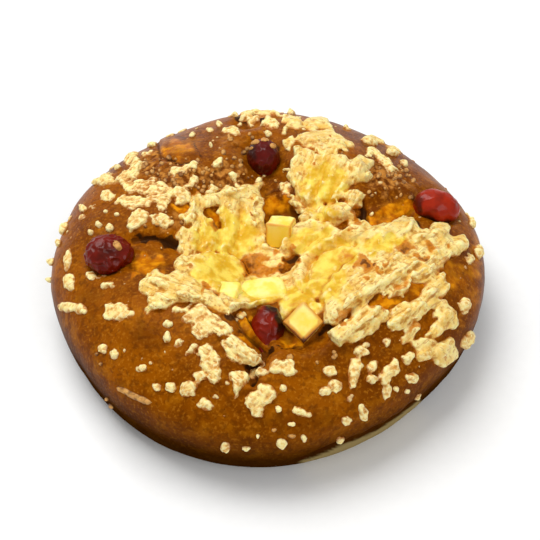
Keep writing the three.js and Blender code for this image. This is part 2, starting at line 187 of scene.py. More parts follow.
# ---- the melted cheese ----
# Patches of melted cheese: depth in millimetres, width of the rim in pixels, and the outline in pixels.
MELT_PATCHES = {
    "shoulder": (3.0, 8, [
        (181, 214), (190, 208), (190, 199), (197, 192), (207, 196), (215, 194), (224, 190), (227, 187),
        (236, 188), (245, 186), (254, 186), (259, 181), (263, 184), (258, 192), (262, 199), (261, 210),
        (263, 221), (266, 228), (265, 238), (266, 245), (256, 249), (250, 256), (246, 264), (240, 268),
        (236, 262), (222, 259), (206, 259), (192, 262), (184, 266), (181, 272), (175, 266), (175, 261),
        (181, 258), (179, 245), (178, 236), (179, 230), (184, 226), (181, 219),
    ]),
    "fold": (3.4, 8, [
        (184, 268), (192, 262), (206, 258), (222, 258), (236, 262), (242, 268), (245, 276), (243, 283),
        (236, 287), (224, 289), (214, 292), (205, 291), (197, 284), (190, 278),
    ]),
    "tongue": (2.2, 5, [
        (139, 290), (141, 282), (149, 273), (158, 271), (167, 276), (175, 271), (182, 268), (190, 274),
        (200, 288), (212, 294), (218, 299), (224, 308), (229, 312), (222, 314), (208, 307), (199, 303),
        (188, 300), (176, 302), (170, 305), (163, 309), (153, 311), (147, 314), (143, 309), (149, 304),
        (148, 297), (141, 294),
    ]),
    "white_strand": (3.2, 3, [
        (226, 311), (233, 307), (240, 306), (248, 305), (258, 303), (268, 300), (262, 304), (254, 307),
        (246, 309), (238, 309), (232, 312), (228, 314),
    ]),
    "basin": (2.4, 8, [
        (243, 283), (248, 276), (262, 272), (276, 270), (284, 272), (298, 268), (303, 275), (303, 284),
        (300, 292), (308, 296), (318, 300), (322, 310), (318, 318), (305, 304), (292, 312), (285, 320),
        (279, 318), (279, 306), (283, 300), (275, 303), (262, 301), (250, 304), (240, 306), (226, 306),
        (218, 298), (222, 290), (236, 288),
    ]),
    "blob": (2.8, 7, [
        (248, 256), (256, 249), (266, 247), (274, 250), (284, 254), (290, 256), (287, 264), (280, 270),
        (272, 273), (262, 274), (256, 278), (246, 280), (240, 274), (242, 266),
    ]),
    "shell": (3.8, 6, [
        (281, 251), (287, 243), (291, 237), (295, 230), (299, 225), (308, 223), (322, 224), (329, 225),
        (337, 231), (346, 235), (338, 240), (328, 243), (318, 249), (310, 256), (303, 259), (297, 255),
        (288, 253),
    ]),
    "right_sheet": (2.9, 7, [
        (300, 266), (304, 259), (310, 252), (318, 247), (326, 243), (338, 240), (347, 236), (354, 236),
        (360, 231), (368, 229), (376, 226), (389, 225), (396, 222), (402, 219), (407, 217), (412, 225),
        (420, 230), (428, 231), (434, 224), (443, 223), (449, 229), (450, 235), (454, 238), (461, 239),
        (467, 244), (465, 250), (459, 253), (452, 255), (446, 261), (440, 268), (434, 273), (436, 279),
        (433, 283), (428, 286), (423, 290), (424, 284), (416, 284), (409, 282), (408, 290), (402, 296),
        (398, 296), (389, 296), (381, 294), (373, 296), (369, 300), (365, 302), (360, 304), (349, 317),
        (341, 323), (334, 326), (325, 324), (325, 312), (327, 305), (322, 300), (312, 298), (303, 290),
        (301, 278),
    ]),
    "front_slab": (3.2, 4, [
        (341, 324), (349, 318), (360, 304), (365, 302), (369, 308), (376, 310), (381, 309), (389, 311),
        (384, 321), (379, 327), (375, 332), (369, 335), (361, 338), (355, 341), (346, 343), (339, 346),
        (335, 342), (330, 336), (334, 329),
    ]),
    "band_beside_slab": (3.6, 4, [
        (325, 324), (325, 308), (330, 300), (336, 301), (339, 306), (345, 303), (352, 296), (357, 293),
        (361, 302), (352, 310), (341, 321), (333, 326),
    ]),
    "middle_slab": (3.0, 4, [
        (421, 290), (433, 282), (440, 282), (447, 287), (448, 291), (443, 296), (438, 299), (437, 304),
        (432, 309), (425, 315), (417, 320), (409, 322), (404, 326), (398, 331), (392, 331), (388, 327),
        (389, 319), (391, 313), (397, 304), (403, 302), (411, 304), (417, 299),
    ]),
    "right_slab": (3.0, 4, [
        (435, 302), (442, 300), (447, 306), (451, 307), (456, 315), (457, 321), (455, 327), (447, 330),
        (439, 332), (434, 338), (425, 336), (428, 332), (431, 326), (432, 318), (434, 312),
    ]),
    "thin_shred": (1.9, 3, [
        (400, 341), (405, 336), (403, 329), (411, 323), (420, 323), (419, 330), (415, 337), (409, 343),
    ]),
    "low_slab": (2.2, 3, [
        (410, 342), (419, 338), (431, 339), (436, 341), (430, 346), (421, 350), (416, 351), (412, 346),
    ]),
    "foot_slab": (3.0, 4, [
        (417, 351), (432, 346), (443, 341), (450, 338), (456, 348), (455, 357), (449, 361), (442, 367),
        (437, 363), (430, 358), (424, 362), (419, 360), (416, 356),
    ]),
    "far_knob": (3.8, 5, [(454, 238), (461, 239), (467, 244), (465, 250), (459, 253), (455, 250)]),
    "far_flake": (2.8, 3, [(436, 276), (440, 272), (445, 276), (446, 281), (442, 284), (437, 280)]),
    "fan": (3.4, 8, [
        (300, 148), (308, 150), (315, 155), (321, 157), (331, 157), (340, 156), (350, 161), (356, 166),
        (350, 172), (355, 182), (348, 185), (344, 190), (341, 200), (335, 203), (325, 202), (321, 206),
        (315, 210), (310, 209), (304, 204), (301, 198), (295, 190), (291, 183), (289, 176), (292, 170),
        (293, 162), (296, 157), (297, 152),
    ]),
    "fan_right": (3.8, 5, [
        (352, 162), (359, 159), (368, 160), (373, 165), (368, 170), (372, 177), (365, 182), (357, 182),
        (351, 177), (350, 171),
    ]),
    "fan_foot_right": (3.0, 5, [
        (343, 195), (348, 191), (357, 190), (365, 195), (361, 199), (361, 205), (359, 209), (352, 208),
        (345, 203), (341, 200),
    ]),
    "link_left": (3.0, 5, [
        (303, 219), (305, 213), (310, 209), (315, 210), (320, 214), (321, 220), (321, 224), (313, 224),
        (305, 223),
    ]),
    "link_right": (3.6, 5, [
        (320, 214), (321, 207), (327, 202), (335, 203), (343, 202), (348, 207), (352, 211), (356, 218),
        (349, 221), (340, 223), (334, 225), (329, 224), (321, 224),
    ]),
    "link_tail": (2.2, 4, [(347, 229), (349, 222), (356, 220), (359, 216), (363, 224), (364, 229)]),
    "fan_top": (2.6, 5, [
        (296, 140), (302, 134), (310, 134), (315, 131), (322, 132), (330, 130), (338, 134), (344, 139),
        (350, 143), (355, 146), (348, 149), (340, 150), (338, 155), (330, 157), (321, 156), (313, 150),
        (306, 147), (300, 144),
    ]),
    "fan_top_upper": (2.6, 4, [
        (303, 123), (308, 121), (315, 118), (321, 117), (326, 119), (328, 124), (333, 129), (337, 133),
        (330, 132), (324, 129), (319, 130), (313, 131), (308, 131), (305, 127),
    ]),
    "fan_top_left": (2.6, 4, [
        (281, 122), (285, 117), (301, 118), (303, 126), (295, 129), (289, 129), (285, 134), (281, 134),
        (284, 129), (287, 124),
    ]),
    "fan_left": (2.0, 4, [
        (282, 141), (288, 137), (294, 136), (296, 141), (292, 147), (290, 153), (284, 150), (283, 146),
    ]),
}
# Where the crust shows through the cheese, as outlines in pixels.
MELT_GAPS = {
    "window": [
        (369, 300), (373, 296), (381, 294), (389, 296), (398, 296), (400, 298), (397, 302), (394, 306),
        (390, 310), (383, 308), (376, 308), (370, 306),
    ],
    "second_window": [
        (403, 295), (408, 290), (409, 282), (416, 284), (423, 284), (421, 290), (418, 295), (414, 300),
        (407, 301),
    ],
    "lace_left": [
        (167, 204), (173, 199), (177, 203), (184, 204), (191, 204), (186, 209), (179, 213), (170, 215),
        (166, 212),
    ],
    "lace_middle": [
        (201, 213), (208, 208), (216, 204), (220, 208), (216, 213), (221, 222), (222, 230), (217, 227),
        (212, 222), (204, 217),
    ],
    "lace_low": [(183, 225), (190, 225), (189, 228), (185, 228)],
    "lace_top": [(202, 192), (206, 191), (206, 196), (203, 196)],
    "hollow_behind_lip": [
        (287, 258), (292, 255), (299, 256), (301, 260), (297, 265), (290, 266), (286, 263),
    ],
    "streak_in_slab": [(430, 322), (434, 316), (438, 318), (430, 328), (424, 334), (421, 332)],
    "crack": [
        (341, 324), (346, 316), (352, 310), (358, 304), (360, 305), (354, 311), (348, 317), (342, 325),
    ],
}
# Folds of the cheese, which rise, and creases, whose rise is below nought: rise, half width, then the points
# that they run through, across and down.
MELT_FOLDS = {
    "left_arc": (1.2, 8, [(184, 268), (200, 260), (218, 259), (234, 265), (244, 277)]),
    "left_arc_inner": (1.0, 6, [(196, 275), (212, 268), (228, 271), (238, 282)]),
    "left_arc_crease": (-1.6, 3, [(190, 275), (199, 282), (207, 289)]),
    "left_arc_shadow": (-2.0, 4, [(188, 258), (206, 252), (226, 254), (242, 262), (248, 274)]),
    "shoulder_streak": (0.8, 5, [(188, 226), (192, 244), (189, 260)]),
    "shoulder_streak_second": (0.8, 6, [(203, 226), (210, 240), (208, 254)]),
    "shoulder_streak_third": (0.9, 6, [(227, 208), (230, 230), (224, 250)]),
    "shoulder_streak_fourth": (0.8, 6, [(247, 214), (250, 232), (246, 250)]),
    "shoulder_crease": (-0.7, 3, [(197, 218), (200, 236), (199, 254)]),
    "shoulder_crease_second": (-0.8, 3, [(216, 222), (220, 238), (216, 256)]),
    "shoulder_crease_third": (-0.7, 3, [(240, 204), (240, 226), (236, 250)]),
    "middle_blob": (1.0, 10, [(254, 259), (270, 256)]),
    "middle_blob_crease": (-0.7, 4, [(243, 264), (248, 274), (264, 278), (282, 273)]),
    "shell_edge": (2.0, 7, [(284, 247), (295, 232), (312, 226), (330, 228), (343, 235)]),
    "shell_face": (1.4, 8, [(296, 246), (314, 240), (332, 240)]),
    "lip_shadow": (-3.4, 5, [(348, 232), (330, 240), (314, 247), (304, 256), (296, 262), (288, 268)]),
    "lip": (3.2, 7, [(300, 284), (303, 268), (311, 254), (324, 246), (342, 238), (354, 235)]),
    "lip_inner": (1.4, 6, [(312, 290), (318, 272), (330, 260), (350, 250)]),
    "sheet_edge": (1.6, 7, [(354, 235), (376, 238), (398, 231), (418, 224)]),
    "sheet_crease": (-1.4, 3, [(308, 286), (311, 268), (322, 256), (340, 249), (356, 247)]),
    "sheet_crease_low": (-1.5, 3, [(318, 300), (330, 280), (344, 268), (352, 262)]),
    "sheet_ridge": (1.5, 5, [(322, 306), (336, 284), (356, 268), (372, 256)]),
    "sheet_ridge_second": (1.5, 5, [(332, 312), (350, 290), (370, 278), (392, 262)]),
    "sheet_ridge_third": (1.4, 5, [(352, 302), (374, 288), (396, 276), (412, 262)]),
    "sheet_ridge_fourth": (1.4, 5, [(394, 302), (410, 284), (424, 266), (434, 256)]),
    "fan_edge": (1.4, 6, [(296, 152), (294, 170), (300, 190), (306, 206)]),
    "fan_streak": (0.7, 5, [(308, 204), (312, 184), (316, 162)]),
    "fan_streak_second": (0.7, 5, [(320, 205), (328, 186), (336, 166)]),
    "fan_streak_third": (0.7, 5, [(332, 203), (344, 188), (352, 172)]),
    "fan_crease": (-0.7, 3, [(303, 200), (304, 180), (306, 160)]),
    "fan_crease_second": (-0.7, 3, [(314, 204), (320, 184), (326, 164)]),
    "fan_crease_third": (-0.7, 3, [(327, 204), (337, 187), (346, 170)]),
    "fan_foot": (-2.2, 4, [(300, 208), (316, 206), (330, 205), (344, 202)]),
    "link_left": (2.0, 9, [(306, 218), (320, 212)]),
    "link_right": (2.0, 9, [(332, 217), (346, 212)]),
    "link_crease": (-1.8, 3, [(326, 206), (325, 216), (328, 226)]),
    "link_foot": (-1.8, 3, [(300, 226), (314, 222), (332, 224), (350, 230)]),
    "tongue_ridge": (1.2, 5, [(146, 284), (164, 288), (186, 292)]),
    "tongue_ridge_low": (1.2, 5, [(150, 302), (168, 302), (188, 300)]),
    "tongue_band": (1.6, 5, [(186, 298), (206, 300), (224, 306), (240, 312)]),
    "slab_top": (1.4, 7, [(330, 318), (348, 306), (366, 298)]),
    "slab_middle": (1.6, 8, [(334, 338), (352, 326), (374, 312)]),
}

# Where shreds of cheese lie thick: the oval's across, down, width, height and turn, then the way that they
# lie in degrees, their length in pixels and their number.
SHRED_PATCHES = {
    "tongue": ((163, 291, 48, 32, -10), -22, 17, 14),
    "tongue_comb": ((160, 276, 26, 10, -10), -10, 16, 8),
    "tongue_band": ((207, 302, 50, 10, -25), -25, 19, 10),
    "shoulder_lace": ((224, 196, 70, 16, 0), 20, 10, 16),
    "shoulder_left": ((186, 240, 14, 50, 0), 78, 12, 14),
    "shoulder_body": ((224, 230, 70, 50, 0), 75, 11, 12),
    "fan": ((326, 180, 54, 46, -20), 65, 14, 10),
    "fan_top": ((320, 140, 60, 20, -18), -25, 13, 14),
    "right_sheet": ((376, 245, 90, 26, 12), 25, 15, 12),
    "right_patch": ((412, 250, 40, 16, 0), 20, 8, 12),
    "right_middle": ((352, 284, 80, 34, 35), 38, 18, 12),
    "front_slab": ((358, 324, 50, 20, 32), 32, 20, 10),
    "right_thin": ((405, 275, 60, 30, 42), 42, 16, 12),
    "middle_slab": ((415, 309, 56, 14, 38), 38, 16, 8),
    "right_slab": ((443, 318, 20, 26, -28), 32, 14, 6),
    "foot_slab": ((437, 352, 34, 16, 32), 32, 14, 6),
    "thin_shred": ((410, 333, 14, 18, -30), 45, 14, 5),
    "blob": ((262, 262, 30, 20, 0), 10, 8, 5),
}
# Shreds laid one by one: across, down, length, width, turn.
SHREDS_BY_HAND = {
    "strand_behind": (263, 177, 24, 3, 48),
    "pocket_edge": (246, 306, 44, 4.5, 12),
    "strand_in_groove": (165, 245, 12, 2.5, 42),
    "fan_strand": (288, 172, 12, 3, 0),
    "sheet_strand": (292, 253, 26, 2.5, -5),
    "bone_strand": (184, 175, 9, 2, -45),
}
# Slabs of cheese that lie on the sheet: across, down, width, height, turn.
SLAB_PIXELS = {
    "front": [(345, 335, 24, 8, 35), (362, 322, 30, 8, 33), (333, 315, 10, 18, -20), (348, 302, 20, 6, 40)],
    "middle": [(402, 317, 24, 9, 38), (418, 308, 20, 8, 36), (432, 292, 18, 9, 30)],
    "right": [(445, 316, 20, 12, 45), (443, 350, 18, 12, 35), (425, 355, 16, 8, 20)],
    "top_right": [(440, 232, 18, 8, -12), (423, 236, 24, 6, 4), (460, 244, 12, 9, 0), (410, 226, 14, 6, 60)],
    "sheet": [(392, 277, 34, 12, 36), (417, 262, 24, 8, 30), (429, 270, 18, 7, 50), (440, 278, 9, 8, 0)],
    "link": [(313, 216, 12, 10, 0), (336, 213, 20, 14, 0), (353, 198, 14, 10, 0), (360, 168, 14, 14, 0)],
    "fan_top": [(320, 123, 20, 8, -25), (340, 143, 22, 7, -30), (310, 139, 22, 7, -5), (296, 122, 14, 7, 0)],
    "tongue": [(158, 282, 26, 7, -22), (164, 296, 30, 8, -18), (184, 295, 26, 7, -12), (156, 305, 16, 7, 5)],
    "lace": [(193, 203, 6, 16, 10), (212, 198, 16, 6, -20), (231, 191, 14, 7, 10), (190, 218, 14, 8, 20)],
}
SLAB_RISE = 3.2  # millimetres, times a seeded share
# Which way the cheese's fine ridges run, in degrees from the loaf's right, inside an oval of the photo.
STREAK_ZONES = {
    "right": (46, (395, 292, 170, 150, 35, 1)),
    "tongue": (-29, (180, 296, 110, 56, -12, 1)),
    "shoulder": (80, (214, 232, 110, 84, 0, 1)),
    "fan": (68, (326, 178, 90, 84, -20, 1)),
}
# The same for the leaves of half-melted shreds on the crust.
LEAF_ZONES = {
    "front_leaves": (-40, (222, 350, 90, 100, -30, 1)),
    "back_left_chain": (-12, (144, 194, 90, 50, -5, 1)),
    "back_left_slant": (58, (128, 168, 20, 36, -35, 1)),
    "back_right_bow": (-45, (380, 161, 50, 30, -42, 1)),
}
# Where the tomatoes are darkest, with painted shade at their feet, and the browned crumbs that stuck to
# them.
TOMATO_SHADES = {
    "front_cap": (273, 306, 26, 24, -30, 1),
    "front_foot": (272, 348, 12, 8, 0, 0.8),
    "front_side": (280, 322, 14, 40, 8, 1),
    "right_fold": (424, 219, 26, 14, -15, 0.9),
    "right_side": (418, 205, 12, 28, 0, 0.8),
    "right_foot": (438, 222, 44, 9, -8, 1),
    "back_left": (252, 152, 14, 30, 0, 0.8),
    "left_middle": (108, 252, 34, 24, 0, 0.5),
    "back_foot": (262, 170, 24, 14, 0, 0.6),
}
TOMATO_CRUMBS = {
    "tomato_left": [(118, 246, 12, 7, -30)],
    "tomato_back": [(255, 142, 9, 5, 20), (265, 140, 9, 5, 0), (273, 146, 7, 5, -30), (249, 147, 6, 4, 0)],
}
# Leaves of half-melted shreds on the crust, given as the thick shreds are.
LEAF_PATCHES = {
    "leaf": ((209, 322, 38, 16, -33), -33, 17, 7),
    "low_leaf": ((243, 352, 34, 12, -40), -42, 16, 6),
    "strip": ((210, 361, 10, 28, 8), 75, 13, 4),
    "wedge": ((138, 219, 14, 12, 20), 40, 10, 4),
    "slant": ((130, 171, 8, 20, -32), 58, 14, 4),
    "chain": ((140, 189, 46, 8, -14), -14, 14, 5),
    "strand": ((140, 202, 40, 4, -4), -4, 15, 4),
    "bow": ((381, 160, 28, 6, -42), -42, 15, 5),
}

# Which parts of the cheese melted smooth and yellow, and which toasted: ovals with their strength.
POOL_MARKS = {
    "shoulder": (226, 236, 104, 78, 0, 1),
    "fold": (218, 272, 84, 52, -8, 1),
    "lump": (262, 294, 60, 44, 0, 1),
    "pool": (298, 304, 62, 50, 0, 1),
    "lip": (336, 258, 84, 46, 25, 1),
    "right_sheet": (384, 243, 76, 26, 10, 0.9),
    "right_sheet_low": (330, 284, 62, 54, 35, 0.8),
    "shell": (312, 240, 74, 42, 12, 1),
    "basin_right": (314, 292, 40, 56, 25, 1),
    "link": (324, 214, 52, 26, 0, 0.7),
    "fan": (324, 184, 70, 66, -20, 1),
    "fan_top": (330, 158, 40, 20, 0, 0.4),
}
SCORCH_MARKS = {
    "blob_orange": (252, 267, 38, 32, 0, 1.25),
    "blob_top": (258, 258, 34, 20, 0, 1.15),
    "dot_dark": (365, 265, 11, 6, 0, 1.8),
    "dot_dark_second": (375, 265, 12, 8, 10, 1.8),
    "dot_low": (366, 276, 16, 9, 30, 1.4),
    "dot_low_second": (378, 271, 14, 8, 30, 1.2),
    "lace_spot": (204, 194, 8, 8, 0, 1.4),
    "sheet_warm": (345, 256, 36, 22, 20, 0.78),
    "pool_warm": (298, 303, 30, 22, 0, 0.74),
    "blob_low": (270, 270, 36, 14, 0, 1.15),
    "blob_brown": (275, 254, 18, 14, 0, 1.0),
    "blob_spots": (281, 267, 12, 10, 0, 1.5),
    "blob_spot": (246, 274, 8, 8, 0, 1.4),
    # Painted shadow under the lip of the sheet.
    "shadow_under_lip": (293, 261, 24, 18, 0, 1.8),
    "shell_foot": (290, 252, 26, 12, 0, 0.9),
    "lip_spot": (317, 257, 16, 16, 0, 1.0),
    "lip_line": (311, 268, 6, 18, 10, 0.8),
    "sheet_dot": (349, 257, 10, 10, 0, 1.1),
    "sheet_dot_second": (357, 262, 8, 9, 0, 1.1),
    "sheet_dot_third": (385, 262, 7, 9, 0, 1.1),
    "link_spot": (344, 226, 12, 10, 0, 1.3),
    "fan_slit": (315, 160, 5, 9, -35, 1.3),
    "fan_top_spot": (330, 138, 7, 9, 0, 1.3),
    "lace_dot": (251, 197, 7, 6, 0, 1.2),
    "lace_dot_low": (251, 212, 7, 6, 0, 1.2),
    "slab_spot": (346, 324, 7, 9, 0, 1.1),
    "slab_crack": (350, 313, 26, 7, 45, 1.0),
    "sheet_corner": (451, 246, 10, 10, 0, 1.0),
    "shell_spot": (294, 248, 12, 8, 0, 1.0),
    "fold_spot": (206, 287, 13, 13, 0, 1.1),
    "fold_spot_left": (187, 267, 13, 9, 0, 0.9),
    "lace_slit": (216, 222, 16, 26, -30, 1.2),
    "lace_window": (210, 211, 20, 14, 0, 1.2),
    "lace_left": (176, 206, 28, 14, 0, 1),
    "fan_edge": (296, 164, 8, 36, 0, 0.8),
    "fan_tear": (340, 180, 30, 8, 60, 0.6),
    "fan_right": (352, 184, 20, 20, 0, 0.6),
    "link_slit": (358, 216, 14, 34, 10, 1.2),
    "link_low": (346, 226, 30, 10, 0, 0.8),
    "right_dots": (366, 264, 40, 22, -25, 1),
    "right_patch": (406, 247, 38, 18, 5, 1.2),
    "right_patch_right": (430, 247, 24, 16, -30, 1.2),
    "right_patch_low": (420, 257, 28, 12, 0, 1.15),
    "right_streak": (402, 286, 50, 14, 40, 0.9),
    "right_window": (383, 302, 50, 20, 10, 1),
    "right_window_low": (345, 314, 40, 10, 35, 0.9),
    "right_low": (415, 326, 40, 14, 40, 0.9),
    "far_right": (446, 300, 26, 30, 0, 0.7),
    "right_corner": (446, 262, 30, 16, -20, 0.7),
    "slab_left": (322, 308, 10, 24, 0, 0.7),
    "tongue_foot": (178, 312, 50, 10, -10, 0.9),
    "tongue_left": (190, 286, 22, 14, 0, 0.5),
    "fan_top": (310, 142, 50, 18, -18, 0.7),
    "fan_top_left": (290, 140, 14, 20, 0, 0.6),
}
# Creases and ridges of the bare crust: rise, half width, points across and down.
CRUST_FOLDS = {
    "left_crease": (-1.6, 4, [(134, 240), (150, 238), (164, 241), (176, 247)]),
    "left_wall": (1.0, 5, [(140, 250), (156, 254), (174, 258)]),
    "left_crease_low": (-0.9, 3, [(130, 266), (148, 275), (164, 276)]),
    "front_cleft": (-3.0, 4, [(262, 360), (256, 366), (249, 369), (253, 376), (253, 383)]),
    "front_crease": (-1.6, 3, [
        (262, 365), (264, 356), (268, 351), (276, 348), (280, 345), (287, 342), (300, 343),
    ]),
    "cube_seat": (-4.5, 12, [(286, 334), (302, 340), (318, 334)]),
    "cleft_lumps": (0.8, 3, [(266, 350), (270, 349), (276, 348)]),
    "front_ridge": (1.8, 3, [(239, 315), (245, 324), (252, 336), (259, 343), (265, 348)]),
    "front_ridge_crease": (-2.0, 2.5, [(236, 316), (242, 331), (249, 339), (256, 346), (263, 351)]),
    "front_ridge_outer": (1.4, 3, [(230, 318), (238, 331), (247, 342), (258, 353)]),
    "front_ridge_low": (1.4, 4, [(222, 336), (238, 348), (252, 358)]),
    "tunnel_rim": (1.6, 4, [(261, 222), (263, 204), (276, 196), (292, 199), (302, 212)]),
    "tunnel": (-3.0, 9, [(272, 214), (284, 211), (294, 216)]),
    "slab": (1.2, 12, [(168, 146), (188, 152)]),
    "slab_crease": (-1.0, 2.5, [(158, 142), (160, 156), (176, 162), (198, 160)]),
    "right_crease": (-1.4, 4, [(366, 232), (390, 226), (412, 212)]),
    "right_wall": (1.2, 6, [(372, 214), (392, 206), (408, 198)]),
    "right_crease_inner": (-1.6, 4, [(360, 196), (364, 212), (362, 228)]),
}

# ---- toppings ----
# Place of the middle, sizes, and turns in degrees about Z, then Y, then X, listed as X, Y, Z.
# wrinkle is how deep a tomato's skin is wrinkled and fold how wide its folds are, red is how ripe it looks,
# and taper narrows its front end.
TOMATOES = {
    "tomato_left": dict(
        at=(-62.5, -15, 44.5), half=(9.6, 8.4, 7.6), turn=(0, 8, 10), wrinkle=1.5, fold=3.2, red=0.3,
    ),
    "tomato_back": dict(
        at=(-1.5, 40, 47), half=(7, 8.8, 8), turn=(-15, 0, 8), wrinkle=0.8, fold=3, red=0.12,
    ),
    "tomato_right": dict(
        at=(70.5, 14, 43), half=(9.8, 7.4, 7), turn=(0, 12, -8), wrinkle=0.6, fold=4, red=0.8,
    ),
    "tomato_front": dict(
        at=(0.2, -53.6, 41), half=(6.6, 12, 6), turn=(24, 0, -4), wrinkle=0.9, fold=3.2, red=0.42, taper=0.4,
    ),
}
# edge is how far a cube's edges are rounded, browned how brown they turned, and golden how golden its faces
# turned.
CUBES = {
    "cheese_cube_front": dict(
        at=(13.8, -51, 44.8), sides=(11, 11, 9.5), edge=0.8, turn=(32, 0, 45), browned=1, golden=0.2,
    ),
    "cheese_cube_middle": dict(
        at=(5.9, 3.4, 38.6), sides=(10.5, 9.5, 11), edge=1.2, turn=(-20, 0, -15), browned=0.5, golden=0.8,
    ),
    "cheese_cube_left": dict(
        at=(-15, -35.8, 42.6), sides=(10.2, 10.2, 8), edge=1.6, turn=(-8, -10, -12), browned=0.5, golden=0.1,
    ),
    "cheese_cube_soft": dict(
        at=(-0.8, -30, 37.6), sides=(18, 13.4, 10), edge=4.9, turn=(-6, 0, 12), browned=0, golden=0.1,
    ),
}

